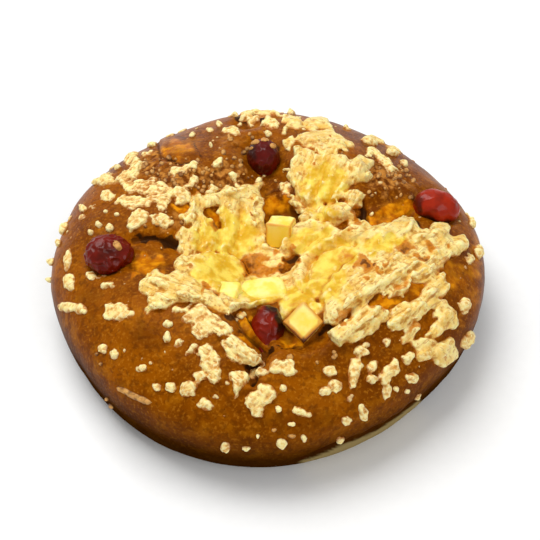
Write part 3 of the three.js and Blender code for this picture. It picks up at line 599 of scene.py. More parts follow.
# ---- flakes of baked cheese ----
# The larger flakes, as outlines in pixels of the photo.
FLAKE_OUTLINES = {
    "leaf": [
        (183, 319), (187, 313), (195, 307), (201, 304), (206, 308), (211, 314), (217, 316), (223, 323),
        (228, 326), (233, 331), (228, 335), (221, 334), (214, 334), (206, 336), (199, 338), (194, 335),
        (192, 330), (193, 326), (188, 323),
    ],
    "low_leaf": [
        (220, 344), (226, 339), (232, 336), (237, 339), (243, 344), (250, 350), (255, 354), (260, 360),
        (261, 364), (256, 363), (252, 364), (247, 363), (242, 364), (235, 363), (229, 356), (224, 350),
    ],
    "strip": [
        (204, 344), (209, 344), (212, 349), (217, 354), (220, 359), (221, 365), (219, 373), (220, 380),
        (215, 384), (210, 382), (206, 378), (207, 373), (204, 367), (202, 362), (201, 356), (197, 354),
        (200, 351), (201, 347),
    ],
    "strip_wing": [(194, 377), (201, 371), (206, 373), (204, 379), (197, 384)],
    "needle": [(185, 356), (188, 350), (194, 345), (198, 345), (198, 347), (193, 351), (187, 355)],
    "small_leaf": [
        (173, 309), (178, 307), (186, 307), (194, 305), (190, 308), (184, 310), (178, 313), (173, 312),
    ],
    "drop": [(175, 343), (179, 340), (182, 341), (181, 344), (177, 345), (174, 348)],
    "shield": [
        (231, 374), (234, 372), (238, 370), (242, 372), (244, 375), (248, 378), (247, 381), (243, 384),
        (239, 391), (235, 398), (234, 391), (233, 384), (230, 379),
    ],
    "over_cleft": [
        (249, 374), (254, 370), (262, 368), (268, 371), (266, 374), (260, 375), (256, 378), (252, 377),
    ],
    "right_of_cleft": [
        (269, 370), (271, 364), (276, 359), (284, 360), (291, 362), (295, 366), (297, 372), (294, 375),
        (286, 374), (279, 374), (274, 373),
    ],
    "clump": [
        (244, 404), (245, 399), (253, 394), (257, 389), (264, 385), (268, 386), (272, 390), (276, 394),
        (274, 399), (269, 403), (263, 405), (263, 411), (261, 416), (256, 417), (253, 413), (251, 408),
        (247, 407),
    ],
    "slug": [
        (199, 404), (201, 400), (204, 399), (210, 403), (213, 407), (211, 411), (206, 409), (201, 406),
    ],
    "round": [
        (181, 391), (184, 384), (191, 382), (194, 383), (196, 387), (194, 394), (188, 397), (184, 395),
    ],
    "comma": [
        (293, 412), (295, 408), (301, 408), (306, 410), (310, 414), (308, 418), (303, 416), (297, 415),
    ],
    "bolt": [
        (382, 373), (384, 367), (389, 365), (392, 360), (395, 359), (398, 364), (399, 369), (395, 374),
        (391, 377), (387, 383), (383, 384), (380, 380),
    ],
    "tan_strip": [
        (350, 359), (361, 360), (362, 366), (359, 370), (358, 378), (355, 386), (350, 387), (349, 375),
        (351, 368),
    ],
    "pentagon": [(355, 354), (356, 349), (359, 347), (365, 349), (368, 353), (365, 356), (359, 357)],
    "chip": [(366, 367), (371, 362), (378, 364), (376, 368), (370, 371)],
    "capsule": [(383, 342), (385, 338), (389, 337), (391, 340), (389, 345), (385, 346)],
    "foot_chip": [(401, 357), (407, 354), (414, 353), (412, 359), (408, 364), (404, 361)],
    "egg": [(458, 302), (462, 299), (467, 301), (469, 307), (468, 311), (462, 313), (459, 308)],
    "square": [(461, 340), (465, 336), (471, 338), (471, 346), (465, 349), (461, 347)],
    "right_rim_chip": [(467, 257), (472, 255), (474, 260), (469, 264), (465, 259)],
    "slant": [
        (115, 183), (120, 177), (128, 172), (131, 168), (135, 160), (139, 160), (142, 164), (140, 171),
        (137, 177), (130, 180), (122, 183),
    ],
    "chain": [
        (120, 184), (130, 181), (139, 180), (145, 182), (150, 178), (157, 178), (153, 183), (162, 182),
        (167, 186), (172, 189), (173, 194), (170, 199), (167, 204), (166, 209), (163, 211), (158, 207),
        (162, 202), (154, 203), (150, 205), (141, 208), (129, 208), (122, 205), (115, 203), (118, 199),
        (126, 196), (137, 197), (149, 197), (148, 194), (141, 193), (130, 192), (124, 190),
    ],
    "chain_end": [
        (173, 189), (177, 187), (184, 187), (189, 193), (190, 201), (184, 204), (177, 204), (174, 198),
    ],
    "tan_chip": [(185, 185), (190, 178), (194, 175), (199, 177), (197, 183), (193, 188), (188, 188)],
    "bone": [
        (169, 173), (172, 169), (181, 168), (188, 166), (191, 163), (194, 162), (198, 164), (196, 168),
        (192, 169), (184, 173), (177, 174), (175, 177), (172, 175),
    ],
    "star": [(212, 162), (217, 159), (222, 160), (224, 164), (220, 167), (214, 167)],
    "kite": [(207, 194), (209, 189), (211, 184), (216, 189), (214, 194), (211, 196)],
    "behind_shoulder": [(229, 174), (234, 172), (237, 175), (235, 181), (232, 179)],
    "behind_shoulder_low": [(235, 183), (240, 183), (242, 188), (239, 190)],
    "left_wedge": [
        (131, 213), (140, 211), (147, 214), (148, 218), (143, 224), (138, 228), (129, 230), (129, 222),
    ],
    "left_crumble": [
        (149, 216), (157, 214), (154, 219), (161, 214), (168, 216), (173, 222), (170, 226), (164, 228),
        (159, 225), (152, 223), (151, 219),
    ],
    "left_knob": [(101, 194), (104, 191), (110, 192), (116, 194), (111, 197), (106, 201), (101, 199)],
    "left_back_tip": [
        (94, 181), (100, 179), (106, 176), (113, 177), (114, 183), (108, 184), (103, 184), (95, 183),
    ],
    "left_rim": [(124, 162), (127, 155), (130, 153), (137, 153), (134, 159), (128, 163)],
    "left_rim_second": [(142, 153), (146, 152), (153, 151), (149, 154), (144, 156)],
    "left_slab": [
        (104, 313), (105, 306), (115, 305), (119, 304), (126, 305), (133, 313), (129, 317), (117, 320),
        (106, 318),
    ],
    "left_lip": [(102, 287), (105, 284), (112, 283), (113, 285), (108, 288), (104, 290)],
    "crown": [(254, 112), (259, 108), (267, 108), (273, 111), (274, 114), (267, 116), (259, 115)],
    "crown_left": [(242, 115), (248, 112), (251, 119), (258, 117), (259, 121), (252, 124), (247, 121)],
    "crown_low": [(266, 123), (272, 121), (279, 123), (278, 127), (271, 129), (266, 127)],
    "bow": [
        (365, 150), (370, 148), (376, 152), (383, 157), (388, 162), (393, 168), (397, 171), (391, 173),
        (388, 169), (384, 165), (379, 160), (374, 155), (367, 155),
    ],
    "back_right": [(365, 136), (373, 134), (381, 138), (384, 143), (381, 145), (372, 144), (366, 141)],
    "back_right_low": [(385, 145), (393, 147), (401, 152), (400, 154), (394, 152), (390, 149)],
    "behind_cube": [(280, 185), (285, 181), (290, 182), (290, 190), (289, 196), (283, 193)],
    "back_arc": [(224, 128), (232, 127), (239, 131), (241, 135), (236, 134), (230, 132), (224, 133)],
}
# The smaller flakes, in pixels: across, down, width, height, degrees of turn.
FLAKE_PIXELS = {
    "left_bone": [(68, 260, 8, 24, -8), (69, 282, 13, 20, 0)],
    "left_bar": [(66, 307, 22, 12, 0), (80, 309, 18, 11, -15)],
    "left_small": [(91, 276, 13, 10, 0), (103, 349, 10, 11, 0), (115, 354, 9, 11, 0)],
    "left_pair": [(168, 324, 10, 8, 15), (167, 337, 8, 14, -10)],
    "left_low": [(142.7, 368, 11, 8, 20), (157, 387, 9, 10, 0), (171, 387, 11, 10, -20)],
    "left_low_front": [(225, 447, 11, 10, 0), (246, 448, 8, 5, 0)],
    "front_bead": [(283, 388, 8, 8, 0), (278.5, 409, 7, 8, 0), (283, 366, 12, 8, 0)],
    "front_foot": [(281, 443, 12, 9, 0), (291, 424, 9, 5, 10), (258, 436, 6, 5, 0), (304, 438.5, 7, 8, 0)],
    "right_foot": [(340, 440, 9, 8, -25), (346.5, 421, 12, 11, 0), (363, 413, 10, 19, 10)],
    "right_front_pair": [(330, 371, 16, 13, -10), (335, 386, 16, 16, 20), (325, 391, 12, 9, 0)],
    "right_front": [(384, 377, 14, 10, 20), (387, 391, 9, 20, -8), (371.5, 379, 13, 9, 0)],
    "right_low": [(412, 378, 12.6, 12, 0), (396, 389, 6, 8, 0), (407, 391, 6, 6, 0), (418, 397, 8, 8, 0)],
    "slab_feet": [(366, 345, 9, 5, 0), (424, 357, 12, 9, 20), (447, 352, 10, 12, 50)],
    "left_back_beads": [(110, 228.5, 9, 9, 0), (99, 225.5, 6.5, 6.5, 0), (91, 233, 6, 6, 0)],
    "left_back_bead_high": [(83, 209, 8, 8, 0)],
    "left_edge": [(62, 226, 9, 15, -20), (58, 243, 7, 9, 0), (53, 262, 5, 9, 0)],
    "left_rim": [(152, 145, 12, 8, 10), (118, 168, 8, 6, 30)],
    "back_left_tops": [(191, 127, 7, 6, 0), (210, 130, 10, 7, 0), (219, 125, 7, 8, 0), (211, 146, 4, 4, 0)],
    "back_slant_strand": [(266, 173, 12, 5, 50), (259, 181, 12, 6, 50)],
    "back_crown": [(286, 112, 12, 6, 0), (240, 125, 5, 5, 0), (251, 126, 7, 5, 0), (268, 134, 8, 6, 0)],
    "back_right_rim": [(346, 128, 7, 5, 0), (404, 164, 10, 6, -30), (288, 170, 12, 3, 5)],
    "back_specks": [(276, 158, 9, 5, 0), (106, 212, 5, 3, 20), (117, 215, 6, 3, 10), (372, 214, 6, 4, 40)],
}
# Bits that browned right through, given as the smaller flakes are.
TOASTED_PIXELS = {
    "slanted_shred": [(125, 391, 20, 6, -24), (134, 396, 22, 7, -25), (143, 400, 20, 7, -24)],
    "foot_arc": [(292, 436, 9, 4, 0), (274, 430, 6, 4, 0)],
    "left_pimples": [(111, 406, 7, 6, 0), (107, 399, 5, 4, 0), (101, 364, 4, 4, 0), (97, 354, 4, 4, 0)],
    "front_bead": [(290, 357, 8, 6, 0), (284, 362, 6, 4, 0)],
}
# Flakes that stand out on the rim, where the photo sees them edge-on.
RIM_FLAKE_PIXELS = {
    "back_crown": [(255, 109, 14, 10, 0), (266, 108, 14, 9, 0), (245, 114, 10, 8, 0), (235, 116, 7, 5, 0)],
    "back": [(248, 112, 16, 8, 0), (262, 109, 18, 8, 0), (275, 112, 12, 7, 0), (291, 114, 9, 6, 0)],
    "back_right": [(330, 121, 10, 5, -20), (372, 134, 18, 9, -20), (395, 147, 14, 8, -30)],
    "back_left": [(152, 146, 10, 7, 30), (133, 156, 12, 9, 30), (97, 183, 10, 6, 10)],
    "right": [(476, 220, 8, 14, 0), (478, 252, 9, 16, 0), (468, 338, 11, 18, 0), (464, 305, 11, 13, 0)],
    "left": [(61, 228, 8, 14, -20), (51, 262, 5, 8, 0), (48, 280, 4, 6, 0)],
}
USUAL_WAY = 0.6  # in which the lines on other flakes run, in radians from the loaf's right
FLAKE_RISE = 2.3  # of a smaller flake, in millimetres, times a seeded share
RIM_FLAKE_RISE = 5.52
FLAKE_DEPTHS = (1.4, 2.4)  # of a larger flake
FLAKE_RIM_PIXELS = 4  # over which a larger flake rises to its depth
LEAST_FACING = 0.5  # flakes near the rim, seen edge-on, aren't drawn out further than this allows
FLAKE_VOXEL = 0.5
FLAKE_THICKNESS = 1.2
FLAKES_BEHIND = 18  # flakes on the far rim, which the photo hides
FAR_ANGLES = (0.1, 3.0)  # of the far rim, in radians from the loaf's right
FAR_SHARES = (0.86, 0.99)  # of the loaf's radius
CRUMB_COUNT = 150
CRUMB_ZONE = (40, 86)  # how near to the loaf's middle and how far from it crumbs lie
BEAD_PIXELS = 80  # of bubbly crust for each bead
BEAD_SIZES = (2, 6)  # in pixels
MELT_VOXEL = 0.5
# The sheet's own skin lies half below the crust, so that its thin rim breaks up into lace.
MELT_THICKNESS = 2.2
GAP_RIM_PIXELS = 2.5  # over which the melted cheese falls away to a gap
SHRED_WIDTHS = (2.4, 4.8)  # in pixels
SHRED_RISES = (1.3, 2.6)
MOST_TRIANGLES = 190000  # of one piece
BROWNED_EDGE = 1.8  # how far in from its edges a cube browned
BURNT_CORNER = 3.4  # how far in from its corners it burnt


# ---- modelling helpers ----
def choose(*pieces):
    """Selects these pieces and no others, the first one active."""
    bpy.ops.object.select_all(action="DESELECT")
    for piece in pieces:
        piece.select_set(True)
    bpy.context.view_layer.objects.active = pieces[0]


def named(name):
    """Names the piece just added, and its mesh."""
    piece = bpy.context.active_object
    piece.name = name
    piece.data.name = name
    return piece


def copied(piece, name):
    """Copies a piece with its own mesh."""
    double = piece.copy()
    double.data = piece.data.copy()
    double.name = double.data.name = name
    bpy.context.scene.collection.objects.link(double)
    return double


def joined(pieces, name):
    """Joins pieces to one."""
    choose(*pieces)
    bpy.ops.object.join()
    return named(name)


def finished_with(piece, kind, **settings):
    """Adds a modifier and applies it."""
    choose(piece)
    modifier = piece.modifiers.new(kind.title(), kind)
    for setting, value in settings.items():
        setattr(modifier, setting, value)
    bpy.ops.object.modifier_apply(modifier=modifier.name)


def roughened(piece, kind, feature, depth, group="", **settings):
    """Raises and sinks a piece's skin by a pattern whose features and depth are in millimetres."""
    pattern = bpy.data.textures.new(piece.name + "_" + kind.lower(), kind)
    pattern.noise_scale = feature * MM
    for setting, value in settings.items():
        setattr(pattern, setting, value)
    finished_with(
        piece, "DISPLACE", texture=pattern, texture_coords="LOCAL", strength=depth * MM,
        mid_level=0.5, vertex_group=group,
    )


def streaked(piece, feature, depth, turn, group):
    """Raises and sinks a piece's skin in streaks that run this way, five times as long as they are wide."""
    grain = bpy.data.objects.new("grain", None)
    grain.rotation_euler.z = math.radians(turn)
    grain.scale.x = 5
    bpy.context.scene.collection.objects.link(grain)
    bpy.context.view_layer.update()
    pattern = bpy.data.textures.new(piece.name + "_streaks", "CLOUDS")
    pattern.noise_scale = feature * MM
    finished_with(
        piece, "DISPLACE", texture=pattern, texture_coords="OBJECT", texture_coords_object=grain,
        strength=depth * MM, mid_level=0.5, vertex_group=group,
    )
    bpy.data.objects.remove(grain)


def thin_out(piece):
    """Merges faces where the skin is flattest, so that the piece keeps within its count."""
    piece.data.calc_loop_triangles()
    finished_with(piece, "DECIMATE", ratio=min(1.0, MOST_TRIANGLES / len(piece.data.loop_triangles)))


def smooth(share):
    """Eases a share in and out between 0 and 1."""
    share = np.clip(share, 0, 1)
    return share * share * (3 - 2 * share)


def points_of(piece):
    """The piece's points in millimetres, one row each."""
    places = np.empty(len(piece.data.vertices) * 3, np.float32)
    piece.data.vertices.foreach_get("co", places)
    return places.reshape(-1, 3) / MM


def slopes_of(piece):
    """The way each point of the piece faces."""
    slopes = np.empty(len(piece.data.vertices) * 3, np.float32)
    piece.data.vertices.foreach_get("normal", slopes)
    return slopes.reshape(-1, 3)


def move_points(piece, places):
    """Puts the piece's points at these places, in millimetres."""
    piece.data.vertices.foreach_set("co", (places * MM).astype(np.float32).ravel())
    piece.data.update()


def keep_values(piece, name, values):
    """Stores one number a point, for the piece's material to read."""
    attribute = piece.data.attributes.new(name, "FLOAT", "POINT")
    attribute.data.foreach_set("value", np.asarray(values, np.float32))


def weight_points(piece, name, weights):
    """Stores one weight a point, for a modifier to work by."""
    group = piece.vertex_groups.new(name=name)
    for index, weight in enumerate(weights):
        group.add((index,), float(weight), "REPLACE")


def tree_of(*pieces):
    """The pieces' faces, in a form that rays and nearest points are found in quickly."""
    corners, faces = [], []
    for piece in pieces:
        first = len(corners)
        corners += [vertex.co for vertex in piece.data.vertices]
        faces += [[first + corner for corner in face.vertices] for face in piece.data.polygons]
    return BVHTree.FromPolygons(corners, faces)


def hollowness(piece, rounds):
    """How far each point lies below its smoothed surroundings, in millimetres: above nought in creases."""
    mesh = piece.data
    ends = np.empty(len(mesh.edges) * 2, np.int32)
    mesh.edges.foreach_get("vertices", ends)
    first, second = ends.reshape(-1, 2).T
    places = points_of(piece).astype(np.float64)
    count = np.bincount(first, minlength=len(places)) + np.bincount(second, minlength=len(places))
    evened = places.copy()
    for _ in range(rounds):
        for axis in range(3):
            column = evened[:, axis]
            ahead = np.bincount(first, column[second], len(places))
            behind = np.bincount(second, column[first], len(places))
            evened[:, axis] = (ahead + behind) / np.maximum(count, 1)
    return ((evened - places) * slopes_of(piece)).sum(1)


# ---- the photo's pixels ----
EYE_BACK = Vector((0, -math.cos(CAMERA_ELEVATION), math.sin(CAMERA_ELEVATION)))
EYE_RIGHT = Vector((1, 0, 0))
EYE_UP = EYE_BACK.cross(EYE_RIGHT)
EYE = CAMERA_AIM + EYE_BACK * CAMERA_DISTANCE


def photo_way(across, down):
    """The way in which the camera sees a pixel of the photo."""
    middle = PHOTO_PIXELS / 2
    aside, below = (across - middle) / FOCAL_PIXELS, (down - middle) / FOCAL_PIXELS
    return (EYE_RIGHT * aside - EYE_UP * below - EYE_BACK).normalized()


def pixels_of(places):
    """Where on the photo each place, in millimetres, lies."""
    from_eye = places - np.array(EYE) / MM
    distance = -from_eye @ np.array(EYE_BACK)
    across = PHOTO_PIXELS / 2 + from_eye @ np.array(EYE_RIGHT) / distance * FOCAL_PIXELS
    down = PHOTO_PIXELS / 2 - from_eye @ np.array(EYE_UP) / distance * FOCAL_PIXELS
    return np.column_stack((across, down))


def ragged(pixels, size):
    """Shifts each pixel by a few waves, so that an oval's rim comes out uneven."""
    across, down = pixels.T
    shift = np.sin(across / 3.1 + 1.7 * np.sin(down / 5.3)) + np.sin(down / 2.3 + 2.1 * np.sin(across / 7.1))
    other = np.sin(down / 3.7 + 1.9 * np.sin(across / 4.3)) + np.sin(across / 2.7 + 1.3 * np.sin(down / 6.1))
    return pixels + size * np.column_stack((shift, other)) / 2


def reach_of(pixels, oval):
    """How far each pixel lies from an oval's middle: 1 on its rim."""
    across, down, width, height, turn = oval[:5]
    cosine, sine = math.cos(math.radians(turn)), math.sin(math.radians(turn))
    aside, up = pixels[:, 0] - across, down - pixels[:, 1]
    return np.hypot((aside * cosine + up * sine) / (width / 2), (up * cosine - aside * sine) / (height / 2))


def cover_of(pixels, ovals, hardness=1.0):
    """The strongest cover that ovals give each pixel, fading towards their rims."""
    cover = np.zeros(len(pixels))
    for oval in ovals.values():
        cover = np.maximum(cover, oval[5] * smooth((1 - reach_of(pixels, oval)) * hardness))
    return cover


def distance_to(pixels, points):
    """How far each pixel lies from a line through points."""
    nearest = np.full(len(pixels), 1e9)
    for start, end in zip(points, points[1:]):
        start, run = np.array(start), np.subtract(end, start)
        share = np.clip((pixels - start) @ run / (run @ run), 0, 1)
        nearest = np.minimum(nearest, np.hypot(*(pixels - start - share[:, None] * run).T))
    return nearest


def inside_of(pixels, outline):
    """How far inside an outline each pixel lies: below nought outside it."""
    across, down = pixels.T
    within = np.zeros(len(pixels), bool)
    for (x, y), (next_x, next_y) in zip(outline, outline[1:] + outline[:1]):
        if y != next_y:
            beside = (y > down) != (next_y > down)
            within ^= beside & (across < x + (next_x - x) * (down - y) / (next_y - y))
    distance = distance_to(pixels, outline + outline[:1])
    return np.where(within, distance, -distance)


def depth_of(pixels, patches):
    """How deep outlined patches lie over each pixel: the deepest of them, falling away at its rim."""
    deep = np.zeros(len(pixels))
    for depth, rim, outline in patches:
        corners = np.array(outline, float)
        near = ((pixels > corners.min(0) - rim) & (pixels < corners.max(0) + rim)).all(1)
        share = smooth(0.6 + inside_of(pixels[near], outline) / rim)
        deep[near] = np.maximum(deep[near], depth * share)
    return deep


def relief_of(pixels, folds):
    """The rise that folds and creases give each pixel, in millimetres."""
    relief = np.zeros(len(pixels))
    for rise, half_width, points in folds.values():
        relief += rise * smooth(1 - distance_to(pixels, points) / (1.5 * half_width))
    return relief


def on_photo(ground, across, down):
    """The place and slope of the ground that a pixel of the photo shows, or of the nearest rim past it."""
    way = photo_way(across, down)
    place, slope, *_ = ground.ray_cast(EYE, way)
    if place is None:
        place, slope, *_ = ground.find_nearest(EYE + way * CAMERA_DISTANCE)
    return place, slope


# ---- the loaf ----
def outline_scale(angle):
    """How far the outline reaches at an angle, as a share of the loaf's radius."""
    scale = 1 + sum(
        share * math.cos(waves * (angle - math.radians(crest))) for waves, share, crest in OUTLINE_WAVES
    )
    for middle, reach, share in FLAT_SIDES:
        away = abs((math.degrees(angle) - middle + 180) % 360 - 180)
        scale -= share * float(smooth(1 - away / reach))
    return scale


def dome_height(share):
    """How high the dome is at this share of its radius."""
    fall = max(0.0, 1 - share ** DOME_RADIAL_POWER)
    return WAIST_HEIGHT + (LOAF_HEIGHT - WAIST_HEIGHT) * fall ** (1 / DOME_RISE_POWER)


def loaf_rings():
    """Radius and height of each ring above the base, up to the last one before the top."""
    for step in range(1, SIDE_RINGS + 1):
        turn = step / SIDE_RINGS * math.pi / 2
        bulge = (LOAF_RADIUS - BASE_RADIUS) * math.sin(turn) ** 0.8
        yield BASE_RADIUS + bulge, WAIST_HEIGHT * (1 - math.cos(turn))
    for step in range(1, TOP_RINGS):
        share = 1 - (step / TOP_RINGS) ** 1.45
        yield LOAF_RADIUS * share, dome_height(share)


def raise_loaf():
    """Raises the loaf ring by ring from a circle, then closes its top and its base."""
    bpy.ops.mesh.primitive_circle_add(vertices=STEPS_ROUND, radius=BASE_RADIUS * MM, fill_type="NOTHING")
    loaf = named("crust")
    bpy.ops.object.mode_set(mode="EDIT")
    last_radius, last_height = BASE_RADIUS, 0
    for radius, height in loaf_rings():
        step = (0, 0, (height - last_height) * MM)
        bpy.ops.mesh.extrude_region_move(TRANSFORM_OT_translate={"value": step})
        bpy.ops.transform.resize(value=(radius / last_radius, radius / last_radius, 1))
        last_radius, last_height = radius, height
    step = (0, 0, (LOAF_HEIGHT - last_height) * MM)
    bpy.ops.mesh.extrude_region_move(TRANSFORM_OT_translate={"value": step})
    bpy.ops.mesh.merge(type="CENTER")
    cage = bmesh.from_edit_mesh(loaf.data)
    for vertex in cage.verts:
        vertex.select = vertex.co.z < 0.01 * MM
    cage.select_flush(True)
    bpy.ops.mesh.edge_face_add()
    bpy.ops.mesh.select_all(action="SELECT")
    bpy.ops.mesh.normals_make_consistent(inside=False)
    bpy.ops.object.mode_set(mode="OBJECT")
    places = points_of(loaf)
    scale = np.array([outline_scale(angle) for angle in np.arctan2(places[:, 1], places[:, 0])])
    places[:, :2] *= scale[:, None]
    move_points(loaf, places)
    finished_with(loaf, "SUBSURF", levels=1, render_levels=1)
    return loaf


def press(piece, spots):
    """Pushes spots of a piece, each with a soft falloff: place, push and reach, in metres."""
    choose(piece)
    bpy.ops.object.mode_set(mode="EDIT")
    cage = bmesh.from_edit_mesh(piece.data)
    for place, push, reach in spots:
        bpy.ops.mesh.select_all(action="DESELECT")
        nearest = min(cage.verts, key=lambda vertex: (vertex.co - place).length_squared)
        nearest.select = True
        cage.select_flush(True)
        bpy.ops.transform.translate(
            value=push, use_proportional_edit=True, proportional_edit_falloff="SMOOTH",
            proportional_size=reach,
        )
    bpy.ops.object.mode_set(mode="OBJECT")


def press_dents(loaf):
    """Presses the hollows in one after another. Each starts where those before it have left the crust."""
    spots = []
    tree = tree_of(loaf)
    done = []
    for x, y, radius, depth in DENTS.values():
        crust, *_ = tree.ray_cast(Vector((x * MM, y * MM, 1)), Vector((0, 0, -1)))
        sunk = sum(d * float(smooth(1 - math.hypot(x - dx, y - dy) / r)) for dx, dy, r, d in done)
        spots.append((crust - Vector((0, 0, sunk * MM)), (0, 0, -depth * MM), radius * MM))
        done.append((x, y, radius, depth))
    press(loaf, spots)


def press_crease(loaf):
    """Presses the crease in as a row of small pushes, which wanders a little."""
    tree = tree_of(loaf)
    spots = []
    for start, end in zip(CREASE_PIXELS, CREASE_PIXELS[1:]):
        for step in range(CREASE_STEPS):
            across, down = Vector(start).lerp(Vector(end), step / CREASE_STEPS)
            place, slope = on_photo(tree, across, down + 0.8 * math.sin(across / 3))
            spots.append((place, tuple(-slope * CREASE_DEPTH * MM), CREASE_REACH * MM))
    press(loaf, spots)


def paleness(places, pixels):
    """Where the crust never browned: below the crease at its front, and under the loaf."""
    across, down = np.array(CREASE_PIXELS).T
    below_crease = smooth((pixels[:, 1] - np.interp(pixels[:, 0], across, down)) / 1.5)
    right_of_start = smooth((pixels[:, 0] - across[0]) / 10) * (pixels[:, 0] < across[-1] + 30)
    lower_half = (places[:, 2] < WAIST_HEIGHT) & (places[:, 1] < 0)
    underneath = smooth((1.6 - places[:, 2]) / 1.2)
    return np.maximum(below_crease * right_of_start * lower_half, underneath)


def bake_crust():
    """The whole crust: raised, pressed, creased, blistered, and marked for its colours."""
    loaf = raise_loaf()
    press_dents(loaf)
    press_crease(loaf)
    finished_with(loaf, "SUBSURF", levels=1, render_levels=1)
    places = points_of(loaf)
    pixels = pixels_of(places)
    to_eye = np.array(EYE) / MM - places
    facing = (slopes_of(loaf) * to_eye).sum(1) / np.linalg.norm(to_eye, axis=1)
    # The photo's marks belong to the upper half of the crust, where it faces the camera.
    upper = smooth((places[:, 2] - WAIST_HEIGHT) / 6) * smooth(1 + 5 * facing)
    move_points(loaf, places + slopes_of(loaf) * (relief_of(pixels, CRUST_FOLDS) * upper)[:, None])
    bubbly = cover_of(ragged(pixels, 6), BUBBLY_MARKS, 1.6) * upper
    weight_points(loaf, "risen", smooth((places[:, 2] - 1) / 8))
    weight_points(loaf, "blistered", bubbly)
    roughened(loaf, "CLOUDS", 34, 1.6, "risen")
    roughened(loaf, "CLOUDS", 9, 0.5, "risen")
    roughened(loaf, "CLOUDS", 5, 2.4, "blistered")
    roughened(loaf, "STUCCI", 2.2, 0.6, "blistered")
    keep_values(loaf, "moist", cover_of(ragged(pixels, 5), MOIST_MARKS, 1.6) * upper)
    keep_values(loaf, "bubbly", bubbly)
    keep_values(loaf, "ruddy", cover_of(ragged(pixels, 6), RUDDY_MARKS, 1.4) * upper)
    keep_values(loaf, "char_and_shade", cover_of(ragged(pixels, 3), CHAR_AND_SHADE_MARKS, 1.6) * upper)
    keep_values(loaf, "hollow", hollowness(loaf, 3))
    keep_values(loaf, "pale", paleness(places, pixels))
    choose(loaf)
    bpy.ops.object.shade_smooth()
    return loaf


# ---- laying things on the crust ----
def lay_by_photo(lump, ground, mark, rise, sunk):
    """Lays a copy of a lump, 2 units wide and high, so that it covers its patch of the photo."""
    across, down, width, height, turn = mark
    piece = copied(lump, lump.name + "_laid")
    middle, slope = on_photo(ground, across, down)
    way = photo_way(across, down)
    facing = -way.dot(slope)
    plane = slope if facing > LEAST_FACING else (slope - way * (LEAST_FACING - facing)).normalized()
    cosine, sine = math.cos(math.radians(turn)), math.sin(math.radians(turn))
    for vertex in piece.data.vertices:
        x, y, z = vertex.co
        aside, ahead = x * width / 2, y * height / 2
        corner_way = photo_way(across + aside * cosine - ahead * sine, down - aside * sine - ahead * cosine)
        flat = EYE + corner_way * ((middle - EYE).dot(plane) / corner_way.dot(plane))
        foot, foot_slope, *_ = ground.find_nearest(flat)
        vertex.co = foot + foot_slope * ((z * rise - sunk) * MM)
    return piece


def lay_by_plan(lump, ground, x, y, turn, scale, sunk):
    """Lays a copy of a lump modelled in millimetres, bent to the ground under it."""
    piece = copied(lump, lump.name + "_laid")
    middle, slope, *_ = ground.ray_cast(Vector((x * MM, y * MM, 1)), Vector((0, 0, -1)))
    ahead = Vector((math.cos(turn), math.sin(turn), 0))
    ahead = (ahead - slope * ahead.dot(slope)).normalized()
    aside = slope.cross(ahead)
    for vertex in piece.data.vertices:
        along, across, rise = vertex.co * scale
        foot, foot_slope, *_ = ground.find_nearest(middle + (ahead * along + aside * across) * MM)
        vertex.co = foot + foot_slope * ((rise - sunk) * MM)
    return piece


def scattered_in(oval):
    """A seeded place inside an oval of the photo."""
    across, down, width, height, turn = oval[:5]
    angle, reach = chance.uniform(0, 2 * math.pi), math.sqrt(chance.random())
    along, up = width / 2 * reach * math.cos(angle), height / 2 * reach * math.sin(angle)
    cosine, sine = math.cos(math.radians(turn)), math.sin(math.radians(turn))
    return across + along * cosine - up * sine, down - along * sine - up * cosine


# ---- cheese ----
def model_lump(name, fineness, uneven):
    """A craggy lump about 2 units wide, flat enough to lie."""
    bpy.ops.object.select_all(action="DESELECT")
    bpy.ops.mesh.primitive_ico_sphere_add(subdivisions=fineness, radius=1)
    lump = named(name)
    bpy.ops.object.mode_set(mode="EDIT")
    bpy.ops.transform.vertex_random(offset=uneven, seed=chance.randrange(99))
    bpy.ops.transform.resize(value=(1, 1, 0.5))
    bpy.ops.object.mode_set(mode="OBJECT")
    return lump


def model_shred(name):
    """A bent strand of grated cheese about 2 units long, drawn out from one end of a small block."""
    bpy.ops.object.select_all(action="DESELECT")
    bpy.ops.mesh.primitive_cube_add(size=1, location=(-0.85, 0, 0))
    shred = named(name)
    bpy.ops.object.transform_apply(location=True, rotation=False, scale=False)
    bpy.ops.object.mode_set(mode="EDIT")
    bpy.ops.transform.resize(value=(0.3, chance.uniform(1.0, 1.6), 1), center_override=(-0.85, 0, 0))
    for _ in range(6):
        cage = bmesh.from_edit_mesh(shred.data)
        end = max(face.calc_center_median().x for face in cage.faces)
        for face in cage.faces:
            face.select = face.calc_center_median().x > end - 0.01
        step = (chance.uniform(0.22, 0.36), chance.uniform(-0.4, 0.4), 0)
        bpy.ops.mesh.extrude_region_move(TRANSFORM_OT_translate={"value": step})
        bpy.ops.transform.resize(value=(1, chance.uniform(0.7, 1.3), chance.uniform(0.85, 1.1)))
    bpy.ops.mesh.select_all(action="SELECT")
    bpy.ops.mesh.normals_make_consistent(inside=False)
    bpy.ops.object.mode_set(mode="OBJECT")
    finished_with(shred, "SUBSURF", levels=1, render_levels=1)
    return shred


